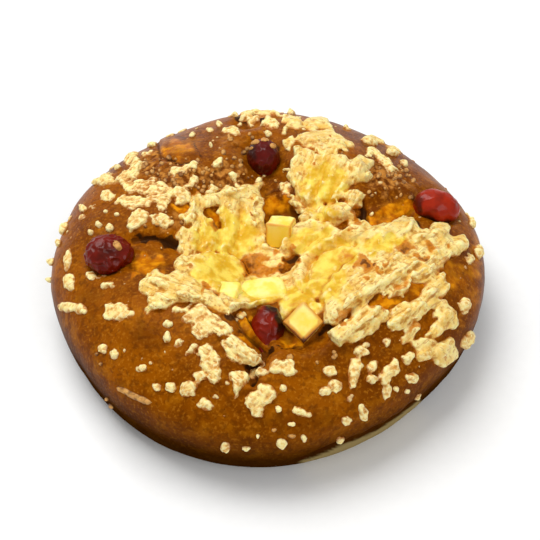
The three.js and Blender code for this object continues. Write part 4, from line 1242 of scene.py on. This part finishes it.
def spread_sheet(crust, name, patches, gaps, folds, thickness, least_facing):
    """A copy of the crust under outlined patches, raised where they lie deep, and closed below."""
    sheet = copied(crust, name)
    middles = np.empty(len(sheet.data.polygons) * 3)
    facing = np.empty(len(sheet.data.polygons) * 3)
    sheet.data.polygons.foreach_get("center", middles)
    sheet.data.polygons.foreach_get("normal", facing)
    middles = middles.reshape(-1, 3) / MM
    to_eye = np.array(EYE) / MM - middles
    hidden = (facing.reshape(-1, 3) * to_eye).sum(1) < least_facing * np.hypot(*to_eye.T)
    wide = [(1, rim + 10, outline) for depth, rim, outline in patches]
    bare = (depth_of(pixels_of(middles), wide) == 0) | (middles[:, 2] < 0.5 * WAIST_HEIGHT) | hidden
    choose(sheet)
    bpy.ops.object.mode_set(mode="EDIT")
    bpy.ops.mesh.select_mode(type="FACE")
    bpy.ops.mesh.select_all(action="DESELECT")
    bpy.ops.object.mode_set(mode="OBJECT")
    sheet.data.polygons.foreach_set("select", bare)
    bpy.ops.object.mode_set(mode="EDIT")
    bpy.ops.mesh.delete(type="FACE")
    bpy.ops.mesh.select_mode(type="VERT")
    bpy.ops.object.mode_set(mode="OBJECT")
    finished_with(sheet, "SUBSURF", levels=1, render_levels=1, subdivision_type="SIMPLE")
    places = points_of(sheet)
    uneven = ragged(pixels_of(places), 1.5)
    depth = depth_of(uneven, patches) * (1 - depth_of(uneven, gaps))
    rise = depth + relief_of(uneven, folds) * smooth(depth / 1.5) - thickness / 2
    move_points(sheet, places + slopes_of(sheet) * rise[:, None])
    finished_with(sheet, "SOLIDIFY", thickness=thickness * MM, offset=-1)
    return sheet


def lay_slabs(ground):
    """The larger flattened slabs of cheese, laid one by one."""
    kinds = [model_lump(f"slab_{number}", 2, 0.2) for number in range(5)]
    laid = []
    for marks in SLAB_PIXELS.values():
        for mark in marks:
            kind = chance.choice(kinds)
            laid.append(lay_by_photo(kind, ground, mark, SLAB_RISE * chance.uniform(0.8, 1.3), 0.1))
    for kind in kinds:
        bpy.data.objects.remove(kind)
    return laid


def strew_shreds(ground, patches, by_hand):
    """Half-melted shreds, thick over the patches that the photo shows."""
    kinds = [model_shred(f"shred_{number}") for number in range(8)]
    laid = [lay_by_photo(chance.choice(kinds), ground, mark, 2.4, -0.6) for mark in by_hand.values()]
    for oval, lean, length, number in patches.values():
        for _ in range(number):
            across, down = scattered_in(oval)
            if any(inside_of(np.array([(across, down)]), gap)[0] > 0 for gap in MELT_GAPS.values()):
                continue
            long = length * chance.uniform(0.6, 1.5)
            wide = chance.uniform(*SHRED_WIDTHS)
            mark = (across, down, long, wide, lean + chance.gauss(0, 20))
            kind = chance.choice(kinds)
            laid.append(lay_by_photo(kind, ground, mark, chance.uniform(*SHRED_RISES), -0.1))
    for kind in kinds:
        bpy.data.objects.remove(kind)
    return laid


def heights_over(piece, ground):
    """How high each point of a piece stands over the crust, in millimetres."""
    heights = []
    for vertex in piece.data.vertices:
        foot, slope, *_ = ground.find_nearest(vertex.co)
        heights.append((vertex.co - foot).dot(slope) / MM)
    return np.array(heights)


def melt_cheese(crust, ground):
    """The melted cheese: a sheet with slabs and shreds on it, run together and roughened along ridges."""
    gaps = [(1, GAP_RIM_PIXELS, outline) for outline in MELT_GAPS.values()]
    patches = MELT_PATCHES.values()
    sheet = spread_sheet(crust, "melted_sheet", patches, gaps, MELT_FOLDS, MELT_THICKNESS, least_facing=0.03)
    over_sheet = tree_of(crust, sheet)
    shreds = strew_shreds(over_sheet, SHRED_PATCHES, SHREDS_BY_HAND)
    melt = joined([sheet, *lay_slabs(over_sheet), *shreds], "grated_cheese_melt")
    finished_with(melt, "REMESH", mode="VOXEL", voxel_size=MELT_VOXEL * MM)
    finished_with(melt, "SMOOTH", factor=0.5, iterations=2)
    pixels = pixels_of(points_of(melt))
    pool = cover_of(ragged(pixels, 6), POOL_MARKS, 1.3)
    weight_points(melt, "shredded", 1 - 0.75 * pool)
    ways = np.zeros(len(pixels))
    for name, (turn, zone) in STREAK_ZONES.items():
        cover = cover_of(pixels, {name: zone}, 2)
        ways[cover > 0.1] = math.radians(turn)
        weight_points(melt, name, cover * (1 - 0.6 * pool))
        streaked(melt, 2.4, 1.6, turn, name)
        streaked(melt, 1, 0.7, turn, name)
    keep_values(melt, "way", ways)
    roughened(melt, "CLOUDS", 4, 1.2, "shredded")
    roughened(melt, "STUCCI", 2, 0.4, "shredded")
    roughened(melt, "CLOUDS", 1.1, 0.25)
    keep_values(melt, "thickness", heights_over(melt, ground))
    keep_values(melt, "pool", pool)
    keep_values(melt, "scorch", cover_of(ragged(pixels, 4), SCORCH_MARKS, 1.5))
    keep_values(melt, "hollow", hollowness(melt, 4))
    keep_values(melt, "valley", hollowness(melt, 40))
    thin_out(melt)
    choose(melt)
    bpy.ops.object.shade_smooth()
    return melt


def lay_flakes(kinds, ground):
    """The smaller flakes, and those on the rim, laid one by one."""
    laid = []
    for marks in FLAKE_PIXELS.values():
        for mark in marks:
            kind = chance.choice(kinds)
            laid.append(lay_by_photo(kind, ground, mark, FLAKE_RISE * chance.uniform(1.3, 2.1), 0.4))
    for marks in RIM_FLAKE_PIXELS.values():
        for mark in marks:
            laid.append(lay_by_photo(chance.choice(kinds), ground, mark, RIM_FLAKE_RISE, 0.3))
    return laid


def strew_crumbs(crumb, ground):
    """Crumbs over the bare crust, most of them tiny."""
    laid = []
    nearest, furthest = CRUMB_ZONE
    while len(laid) < CRUMB_COUNT:
        angle = chance.uniform(0, 2 * math.pi)
        reach = (nearest + (furthest - nearest) * math.sqrt(chance.random())) * outline_scale(angle)
        x, y = reach * math.cos(angle), reach * math.sin(angle)
        place = np.array([(x, y, 45.0)])
        if depth_of(pixels_of(place), MELT_PATCHES.values())[0] == 0:
            size = chance.uniform(0.4, 0.8) + 0.8 * chance.random() ** 4
            laid.append(lay_by_plan(crumb, ground, x, y, angle, size, 0.1))
    return laid


def strew_flakes_behind(kinds, ground):
    """Flakes on the far rim, like those on the near one."""
    laid = []
    while len(laid) < FLAKES_BEHIND:
        angle, reach = chance.uniform(*FAR_ANGLES), chance.uniform(*FAR_SHARES)
        x, y = (LOAF_RADIUS * outline_scale(angle) * reach * way(angle) for way in (math.cos, math.sin))
        laid.append(lay_by_plan(chance.choice(kinds), ground, x, y, angle, chance.uniform(1.2, 2.6), 0.3))
    return laid


def bake_flakes(crust, ground):
    """Flakes of cheese baked on the crust, from the photo's places, and crumbs strewn between them."""
    outlines = FLAKE_OUTLINES.values()
    patches = [(chance.uniform(*FLAKE_DEPTHS), FLAKE_RIM_PIXELS, outline) for outline in outlines]
    laid = [spread_sheet(crust, "flake_sheet", patches, [], {}, FLAKE_THICKNESS, least_facing=-0.06)]
    laid += strew_shreds(ground, LEAF_PATCHES, {})
    big = [model_lump(f"flake_{number}", 2, 0.3) for number in range(8)]
    small = model_lump("crumb", 1, 0.15)
    laid += lay_flakes(big, ground) + strew_crumbs(small, ground) + strew_flakes_behind(big, ground)
    for lump in (*big, small):
        bpy.data.objects.remove(lump)
    flakes = joined(laid, "baked_cheese_flakes")
    finished_with(flakes, "REMESH", mode="VOXEL", voxel_size=FLAKE_VOXEL * MM)
    pixels = pixels_of(points_of(flakes))
    ways = np.full(len(pixels), USUAL_WAY)
    for name, (turn, zone) in LEAF_ZONES.items():
        cover = cover_of(pixels, {name: zone}, 3)
        ways[cover > 0.1] = math.radians(turn)
        weight_points(flakes, name, cover)
        streaked(flakes, 1.1, 0.9, turn, name)
    keep_values(flakes, "way", ways)
    roughened(flakes, "CLOUDS", 2.6, 0.8)
    roughened(flakes, "VORONOI", 1.8, 0.6)
    roughened(flakes, "CLOUDS", 0.9, 0.3)
    return finish_flakes(flakes, ground)


def bake_toasted_bits(ground):
    """Bits of cheese that browned right through."""
    lump = model_lump("toasted_bit", 3, 0.1)
    laid = []
    for marks in TOASTED_PIXELS.values():
        laid += [lay_by_photo(lump, ground, mark, 2.4, 0.3) for mark in marks]
    bead = model_lump("bead", 2, 0.1)
    for oval in BUBBLY_MARKS.values():
        for _ in range(int(oval[2] * oval[3] * oval[5] / BEAD_PIXELS)):
            across, down = scattered_in(oval)
            size = chance.uniform(*BEAD_SIZES)
            mark = (across, down, size, size * chance.uniform(0.7, 1.1), chance.uniform(0, 180))
            laid.append(lay_by_photo(bead, ground, mark, chance.uniform(1, 2), 0.1))
    for name, marks in TOMATO_CRUMBS.items():
        skin = tree_of(bpy.data.objects["baked_" + name])
        laid += [lay_by_photo(lump, skin, mark, 1.6, 0) for mark in marks]
    bpy.data.objects.remove(lump)
    bpy.data.objects.remove(bead)
    bits = joined(laid, "toasted_bits")
    keep_values(bits, "way", [USUAL_WAY] * len(bits.data.vertices))
    roughened(bits, "CLOUDS", 1.6, 0.6)
    return finish_flakes(bits, ground)


def finish_flakes(piece, ground):
    """Keeps what the flakes' colours follow, and smooths their shade."""
    keep_values(piece, "thickness", heights_over(piece, ground))
    keep_values(piece, "hollow", hollowness(piece, 3))
    thin_out(piece)
    choose(piece)
    bpy.ops.object.shade_smooth()
    return piece


# ---- tomatoes and cubes ----
def set_in_place(piece, at, turn):
    """Moves and turns a piece, then makes that part of its mesh. Turns are about Z, then Y, then X."""
    choose(piece)
    piece.rotation_mode = "ZYX"
    piece.rotation_euler = [math.radians(angle) for angle in turn]
    piece.location = Vector(at) * MM
    bpy.ops.object.transform_apply(location=True, rotation=True, scale=True)


def bake_tomato(name, at, half, turn, wrinkle, fold, red, taper=1.0):
    """A cherry tomato whose skin shrank on it in the oven."""
    bpy.ops.object.select_all(action="DESELECT")
    bpy.ops.mesh.primitive_ico_sphere_add(subdivisions=5, radius=MM)
    tomato = named("baked_" + name)
    bpy.ops.object.mode_set(mode="EDIT")
    bpy.ops.transform.resize(value=half)
    cage = bmesh.from_edit_mesh(tomato.data)
    for vertex in cage.verts:
        vertex.select = vertex.co.y < -0.8 * half[1] * MM
    cage.select_flush(True)
    bpy.ops.transform.resize(
        value=(taper, 1, taper), center_override=(0, -half[1] * MM, 0), use_proportional_edit=True,
        proportional_edit_falloff="SMOOTH", proportional_size=1.3 * half[1] * MM,
    )
    bpy.ops.object.mode_set(mode="OBJECT")
    finished_with(tomato, "SUBSURF", levels=1, render_levels=1)
    set_in_place(tomato, at, turn)
    roughened(tomato, "CLOUDS", fold * 2, wrinkle)
    roughened(
        tomato, "MUSGRAVE", fold, wrinkle * 0.55,
        musgrave_type="RIDGED_MULTIFRACTAL", octaves=1.6, lacunarity=2.2,
    )
    keep_values(tomato, "hollow", hollowness(tomato, 8))
    keep_values(tomato, "red", [red] * len(tomato.data.vertices))
    keep_values(tomato, "dark", cover_of(ragged(pixels_of(points_of(tomato)), 2), TOMATO_SHADES, 1.5))
    choose(tomato)
    bpy.ops.object.shade_smooth()
    return tomato


def cut_cube(name, at, sides, edge, turn, browned, golden):
    """A cube of cheese with softened edges, browned where it stood out in the oven."""
    bpy.ops.object.select_all(action="DESELECT")
    bpy.ops.mesh.primitive_cube_add(size=MM)
    cube = named("baked_" + name)
    bpy.ops.object.mode_set(mode="EDIT")
    bpy.ops.transform.resize(value=sides)
    bpy.ops.mesh.bevel(offset=edge * MM, segments=4, profile=0.6)
    bpy.ops.mesh.select_all(action="SELECT")
    bpy.ops.mesh.subdivide(number_cuts=5)
    bpy.ops.object.mode_set(mode="OBJECT")
    places = np.abs(points_of(cube))
    gaps = np.sort(np.array(sides) / 2 - places, axis=1)
    edges = browned * smooth(1 - gaps[:, 1] / BROWNED_EDGE)
    corners = smooth(1 - gaps[:, 2] / BURNT_CORNER)
    set_in_place(cube, at, turn)
    finished_with(cube, "SMOOTH", factor=0.5, iterations=int(2 * edge**2))
    low = pixels_of(points_of(cube))[:, 1] - pixels_of(np.array([at], float))[0, 1]
    keep_values(cube, "edge", edges * (0.45 + 0.55 * smooth(0.4 + golden + low / 24)))
    keep_values(cube, "corner", corners * smooth(0.2 + low / 16))
    keep_values(cube, "golden", golden * smooth(0.8 + low / 20))
    roughened(cube, "CLOUDS", 5, 0.9)
    roughened(cube, "CLOUDS", 1.4, 0.25)
    choose(cube)
    bpy.ops.object.shade_smooth()
    return cube


# ---- materials ----
def linear(code):
    """An sRGB hex colour as linear red, green, blue and full alpha."""
    parts = [int(code[place : place + 2], 16) / 255 for place in (1, 3, 5)]
    return [part / 12.92 if part <= 0.04045 else ((part + 0.055) / 1.055) ** 2.4 for part in parts] + [1]


def add_node(tree, kind, inputs=None, **settings):
    """Adds a node, gives it its settings, and sets or links its inputs."""
    node = tree.nodes.new(kind)
    for setting, value in settings.items():
        setattr(node, setting, value)
    for socket, value in (inputs or {}).items():
        if isinstance(value, bpy.types.NodeSocket):
            tree.links.new(value, node.inputs[socket])
        else:
            node.inputs[socket].default_value = value
    return node


def new_finish(name, **settings):
    """A material with its shader's plain settings: its tree, its shader and the piece's own coordinates."""
    finish = bpy.data.materials.new(name)
    finish.use_nodes = True
    tree = finish.node_tree
    shader = tree.nodes["Principled BSDF"]
    for setting, value in settings.items():
        shader.inputs[setting.replace("_", " ")].default_value = value
    place = add_node(tree, "ShaderNodeTexCoord").outputs["Object"]
    return finish, tree, shader, place


def noise(tree, place, feature, detail):
    """Soft noise with features this many millimetres across."""
    inputs = {"Vector": place, "Scale": 1000 / feature, "Detail": detail}
    return add_node(tree, "ShaderNodeTexNoise", inputs).outputs[0]


def drawn_out(tree, place, feature):
    """Noise in fine lines that run the way that the piece's shreds lie."""
    back = {"Vector": place, "Angle": times(tree, kept(tree, "way"), -1.0)}
    turned = add_node(tree, "ShaderNodeVectorRotate", back, rotation_type="Z_AXIS").outputs[0]
    shares = {0: turned, 1: (0.14, 1, 0.5)}
    drawn = add_node(tree, "ShaderNodeVectorMath", shares, operation="MULTIPLY").outputs[0]
    return noise(tree, drawn, feature, 3)


def kept(tree, name):
    """A number that the piece keeps for each of its points."""
    return add_node(tree, "ShaderNodeAttribute", attribute_name=name).outputs["Fac"]


def ramp(tree, value, start, end, most=1.0):
    """0 where the value is at its start, and the most where it is at its end."""
    inputs = {"Value": value, "From Min": start, "From Max": end, "To Max": most}
    return add_node(tree, "ShaderNodeMapRange", inputs, interpolation_type="SMOOTHSTEP").outputs[0]


def times(tree, value, other):
    return add_node(tree, "ShaderNodeMath", {0: value, 1: other}, operation="MULTIPLY").outputs[0]


def plus(tree, value, other):
    return add_node(tree, "ShaderNodeMath", {0: value, 1: other}, operation="ADD").outputs[0]


def over(tree, share, base, paint):
    """The base colour with paint over a share of it. Either may be a hex colour."""
    base, paint = (linear(colour) if isinstance(colour, str) else colour for colour in (base, paint))
    return add_node(tree, "ShaderNodeMix", {0: share, 6: base, 7: paint}, data_type="RGBA").outputs[2]


def bump(tree, shader, height, strength, depth, under=None):
    """Roughens the shader's light by a height pattern this many millimetres deep."""
    inputs = {"Height": height, "Strength": strength, "Distance": depth * MM}
    if under:
        inputs["Normal"] = under
    bumped = add_node(tree, "ShaderNodeBump", inputs).outputs[0]
    tree.links.new(bumped, shader.inputs["Normal"])
    return bumped


def egg_washed_crust():
    """Wheat crust glazed with egg and baked hard: satin brown, mottled, amber where it stayed moist."""
    finish, tree, shader, place = new_finish(
        "egg-washed wheat crust, baked", Specular_IOR_Level=0.1, Specular_Tint=linear("#e0a060"),
    )
    patch = noise(tree, place, 7, 5)
    grain = noise(tree, place, 1.1, 4)
    height = add_node(tree, "ShaderNodeSeparateXYZ", {0: place}).outputs["Z"]

    # Bread browns unevenly: broad light and dark areas, and small mottles inside them.
    brown = over(tree, ramp(tree, noise(tree, place, 34, 3), 0.36, 0.64), "#6e3400", "#944e00")
    mottled = over(tree, ramp(tree, patch, 0.48, 0.7, 0.55), brown, "#b26a08")
    flecked = over(tree, ramp(tree, grain, 0.5, 0.7, 0.5), mottled, "#bf781c")
    streaky = over(tree, ramp(tree, noise(tree, place, 2.4, 6), 0.5, 0.36, 0.5), flecked, "#5c2a02")
    specked = over(tree, ramp(tree, noise(tree, place, 0.8, 2), 0.34, 0.22, 0.6), streaky, "#4a2004")
    # Painted shade: the side is duller and darker than the dome, darker towards the bottom.
    shaded_side = over(tree, ramp(tree, height, 0.034, 0.012, 0.92), specked, "#261202")
    ruddy = over(tree, times(tree, kept(tree, "ruddy"), patch), shaded_side, "#481800")
    # Moist dough near the cheese soaked up fat and stayed amber.
    wet = ramp(tree, times(tree, kept(tree, "moist"), patch), 0.12, 0.5, 0.9)
    amber = over(tree, ramp(tree, noise(tree, place, 3, 4), 0.38, 0.62), "#c06a02", "#ec980e")
    moist = over(tree, wet, ruddy, amber)
    # Spilt cheese frothed and browned here: rough, dark between pale beads.
    crumbly = ramp(tree, times(tree, kept(tree, "bubbly"), patch), 0.12, 0.5, 0.9)
    froth = over(tree, ramp(tree, noise(tree, place, 2.6, 5), 0.38, 0.64), "#6a3206", "#cc883a")
    toasted = over(tree, crumbly, moist, froth)
    # Painted shade in the creases, which catch less light; they also caught more heat.
    shaded_creases = over(tree, ramp(tree, kept(tree, "hollow"), 0.04, 0.3, 0.6), toasted, "#3d1804")
    # Burnt spots, and painted shade in the front creases and under the toppings.
    darkened = ramp(tree, times(tree, kept(tree, "char_and_shade"), plus(tree, patch, grain)), 0.3, 0.85, 0.9)
    charred_and_shaded = over(tree, darkened, shaded_creases, "#241006")
    floury = over(tree, kept(tree, "pale"), charred_and_shaded, "#8f7c50")
    tree.links.new(floury, shader.inputs["Base Color"])
    tree.links.new(plus(tree, times(tree, crumbly, 0.25), 0.36), shader.inputs["Roughness"])
    # The glaze thins out down the side.
    tree.links.new(ramp(tree, height, 0.016, 0.046, 0.13), shader.inputs["Specular IOR Level"])
    skin = bump(tree, shader, grain, 0.35, 0.5)
    bump(tree, shader, noise(tree, place, 2.2, 3), crumbly, 1.0, skin)
    return finish


def melted_cheese():
    """Grated semi-hard cheese melted in the oven: oily, faintly see-through, yellow where deep, cream at its
    rims, and toasted orange where it is thin."""
    finish, tree, shader, place = new_finish(
        "melted grated cheese", Roughness=0.4, Specular_IOR_Level=0.3, Subsurface_Weight=0.3,
        Subsurface_Radius=(1.0, 0.75, 0.3), Subsurface_Scale=0.9 * MM, Coat_Weight=0.06, Coat_Roughness=0.2,
        Specular_Tint=linear("#f4c870"),
    )
    cloud = noise(tree, place, 5, 4)
    hollow = kept(tree, "hollow")
    scorch = kept(tree, "scorch")
    yellow = over(tree, ramp(tree, cloud, 0.36, 0.62), "#deae26", "#f6dc60")
    cream = over(tree, ramp(tree, cloud, 0.36, 0.62), "#eec464", "#fce698")
    body = over(tree, ramp(tree, kept(tree, "pool"), 0.15, 0.7), cream, yellow)
    # Painted highlight on the tops of the shreds, and painted shade, orange-brown, in the gaps between them.
    specks = ramp(tree, noise(tree, place, 2.0, 4), 0.56, 0.64, 0.65)
    specked = times(tree, specks, ramp(tree, kept(tree, "pool"), 0.9, 0.1))
    freckled = over(tree, specked, body, "#c47c24")
    lit = over(tree, ramp(tree, hollow, -0.04, -0.28, 0.75), freckled, "#fff4b4")
    # Painted shade in the broad valleys of the cheese.
    sunk = over(tree, ramp(tree, kept(tree, "valley"), 0.3, 1.6, 0.7), lit, "#d58f14")
    crease_shade = over(tree, kept(tree, "pool"), "#c8862e", "#dc9c18")
    # Fine brown lines run between the shreds where the cheese stayed stringy.
    lines = drawn_out(tree, place, 1.0)
    stringy = times(tree, ramp(tree, kept(tree, "pool"), 0.6, 0.0), ramp(tree, lines, 0.43, 0.33, 0.5))
    stringed = over(tree, stringy, sunk, "#b06c28")
    shaded_creases = over(tree, ramp(tree, hollow, 0.02, 0.24, 0.8), stringed, crease_shade)
    thin = over(tree, ramp(tree, kept(tree, "thickness"), 0.9, 0.1, 0.9), shaded_creases, "#b8640c")
    heat = times(tree, scorch, plus(tree, cloud, times(tree, noise(tree, place, 1.6, 3), 0.7)))
    toasted = over(tree, ramp(tree, heat, 0.42, 0.85, 0.9), thin, "#cc7602")
    dark = over(tree, ramp(tree, heat, 0.85, 1.35, 0.85), toasted, "#5e2a0c")
    tree.links.new(dark, shader.inputs["Base Color"])
    skin = bump(tree, shader, noise(tree, place, 1.3, 3), 0.5, 0.5)
    bump(tree, shader, times(tree, lines, ramp(tree, kept(tree, "pool"), 0.8, 0.0)), 0.6, 1.0, skin)
    return finish


def baked_cheese(name, dark, light, rim, top_highlight):
    """Grated cheese dried by the oven: matt, with a painted highlight on its tops, toasted round its foot,
    and painted shade there too.
    """
    finish, tree, shader, place = new_finish(
        name, Roughness=0.6, Specular_IOR_Level=0.3, Subsurface_Weight=0.15,
        Subsurface_Radius=(1.0, 0.7, 0.4), Subsurface_Scale=0.7 * MM,
    )
    cloud = noise(tree, place, 2.4, 5)
    lines = drawn_out(tree, place, 0.9)
    body = over(tree, ramp(tree, cloud, 0.32, 0.6), dark, light)
    # Some flakes browned more than their neighbours.
    browned_and_highlit = over(tree, ramp(tree, noise(tree, place, 11, 2), 0.5, 0.7, 0.5), body, dark)
    # Painted highlight on the tops of the lumps.
    browned_and_highlit = over(tree, ramp(tree, kept(tree, "hollow"), -0.02, -0.16, 0.7), browned_and_highlit, top_highlight)
    lined = over(tree, ramp(tree, lines, 0.42, 0.32, 0.36), browned_and_highlit, rim)
    # Painted shade in the creases.
    shaded_creases = over(tree, ramp(tree, kept(tree, "hollow"), 0.03, 0.24, 0.66), lined, rim)
    # The foot is darker: toasted, and painted shade where it meets the crust.
    foot = ramp(tree, plus(tree, kept(tree, "thickness"), times(tree, cloud, 2.2)), 2.0, 0.9, 0.9)
    tree.links.new(over(tree, foot, shaded_creases, rim), shader.inputs["Base Color"])
    skin = bump(tree, shader, cloud, 0.6, 0.6)
    bump(tree, shader, lines, 0.5, 0.8, skin)
    return finish


def tomato_skin():
    """Cherry tomato skin shrunk and oiled in the oven: glossy, deep red, with painted shade near black in
    its folds.
    """
    finish, tree, shader, place = new_finish(
        "baked cherry tomato skin", Roughness=0.35, Specular_IOR_Level=0.1, Coat_Weight=0.22,
        Coat_Roughness=0.02, Subsurface_Weight=0.1, Subsurface_Radius=(1.0, 0.15, 0.08),
        Subsurface_Scale=1.5 * MM,
    )
    ripe = over(tree, kept(tree, "red"), "#480402", "#b02a08")
    mottled = over(tree, ramp(tree, noise(tree, place, 5, 4), 0.4, 0.66, 0.35), ripe, "#3a0503")
    # Darkest places of the tomatoes, with painted shade at their feet.
    red = over(tree, kept(tree, "dark"), mottled, "#2c0e04")
    # Painted shade, near black, in the folds.
    shaded_creases = over(tree, ramp(tree, kept(tree, "hollow"), 0.05, 0.35, 0.8), red, "#1c0303")
    tree.links.new(shaded_creases, shader.inputs["Base Color"])
    bump(tree, shader, noise(tree, place, 1.6, 2), 0.3, 0.4)
    return finish


def cubed_cheese():
    """Semi-hard cheese cut in cubes: smooth, waxy yellow, browned along its edges."""
    finish, tree, shader, place = new_finish(
        "cubed cheese, oven-warmed", Roughness=0.45, Specular_IOR_Level=0.3, Subsurface_Weight=0.3,
        Subsurface_Radius=(1.0, 0.7, 0.25), Subsurface_Scale=1.5 * MM,
    )
    cloud = noise(tree, place, 5, 3)
    # The faces of a cube that stood deep in the cheese turned golden.
    cut = over(tree, ramp(tree, cloud, 0.35, 0.65), "#f9e05a", "#fff296")
    body = over(tree, times(tree, kept(tree, "golden"), plus(tree, cloud, 0.3)), cut, "#fcc808")
    browning = times(tree, kept(tree, "edge"), plus(tree, cloud, 0.4))
    golden = over(tree, ramp(tree, browning, 0.1, 0.5, 0.9), body, "#d68a18")
    browned = over(tree, ramp(tree, browning, 0.45, 0.85, 0.9), golden, "#7a380a")
    darkened = over(tree, ramp(tree, kept(tree, "corner"), 0.3, 0.9, 0.9), browned, "#42180a")
    tree.links.new(darkened, shader.inputs["Base Color"])
    bump(tree, shader, cloud, 0.2, 0.4)
    return finish


def matt_card():
    """Matt white card under the loaf: almost white, with a faint fibre."""
    finish, tree, shader, place = new_finish("matt white card", Roughness=0.9, Specular_IOR_Level=0.1)
    tree.links.new(over(tree, noise(tree, place, 4, 3), "#f6f6f5", "#fafaf9"), shader.inputs["Base Color"])
    return finish


# ---- assembly ----
def dress(piece, finish, slot, *nodes):
    """Gives a piece its material, and says which body carries it and which nodes it replaces."""
    piece.data.materials.clear()
    piece.data.materials.append(finish)
    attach(piece, "root")
    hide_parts(*nodes)


def build_focaccia():
    bpy.ops.object.select_all(action="DESELECT")
    crust = bake_crust()
    ground = tree_of(crust)
    dress(crust, egg_washed_crust(), "crust", "bread")
    dress(melt_cheese(crust, ground), melted_cheese(), "melted_cheese", "melted_cheese")
    skin = tomato_skin()
    for name, tomato in TOMATOES.items():
        dress(bake_tomato(name, **tomato), skin, "tomato", name)
    waxy = cubed_cheese()
    for name, cube in CUBES.items():
        dress(cut_cube(name, **cube), waxy, "cheese", name)
    flaky = baked_cheese("grated cheese, oven-dried", "#d6963a", "#fde594", "#a8580c", "#fff3b4")
    dress(bake_flakes(crust, ground), flaky, "melted_cheese", "bread")
    browned = baked_cheese("grated cheese, toasted brown", "#84440c", "#d2984c", "#5a2a06", "#dca458")
    dress(bake_toasted_bits(ground), browned, "melted_cheese", "bread")


def lay_floor():
    bpy.ops.object.select_all(action="DESELECT")
    bpy.ops.mesh.primitive_plane_add(size=8)
    floor = named("floor")
    floor.data.materials.append(matt_card())


def hang_softbox(name, place, width, power):
    """A square soft light that faces the loaf."""
    light = bpy.data.lights.new(name, "AREA")
    light.shape = "SQUARE"
    light.size = width
    light.energy = power
    lamp = bpy.data.objects.new(name, light)
    lamp.location = place
    lamp.rotation_mode = "QUATERNION"
    lamp.rotation_quaternion = (Vector(place) - CAMERA_AIM).to_track_quat("Z", "Y")
    bpy.context.scene.collection.objects.link(lamp)


def light_studio():
    """A pale room with one soft light overhead, behind the loaf, and a weaker one in front of it."""
    world = bpy.data.worlds.new("pale room")
    bpy.context.scene.world = world
    world.use_nodes = True
    world.node_tree.nodes["Background"].inputs["Color"].default_value = linear("#ffffff")
    world.node_tree.nodes["Background"].inputs["Strength"].default_value = 0.4
    hang_softbox("overhead softbox", place=(-0.35, 0.35, 1.1), width=0.8, power=11.8)
    hang_softbox("front softbox", place=(0.6, -0.9, 0.9), width=0.8, power=5)
    bpy.context.scene.view_settings.view_transform = "Standard"
    bpy.context.scene.view_settings.look = "None"


def set_camera():
    """The camera that the photo was taken with, as fitted to the loaf's outline."""
    lens = bpy.data.cameras.new("camera")
    lens.sensor_width = SENSOR_WIDTH
    lens.lens = FOCAL_PIXELS / PHOTO_PIXELS * SENSOR_WIDTH
    lens.clip_start = 10 * MM
    camera = bpy.data.objects.new("camera", lens)
    camera.location = EYE
    camera.rotation_mode = "QUATERNION"
    camera.rotation_quaternion = EYE_BACK.to_track_quat("Z", "Y")
    bpy.context.scene.collection.objects.link(camera)
    bpy.context.scene.camera = camera


build_focaccia()
lay_floor()
light_studio()
set_camera()
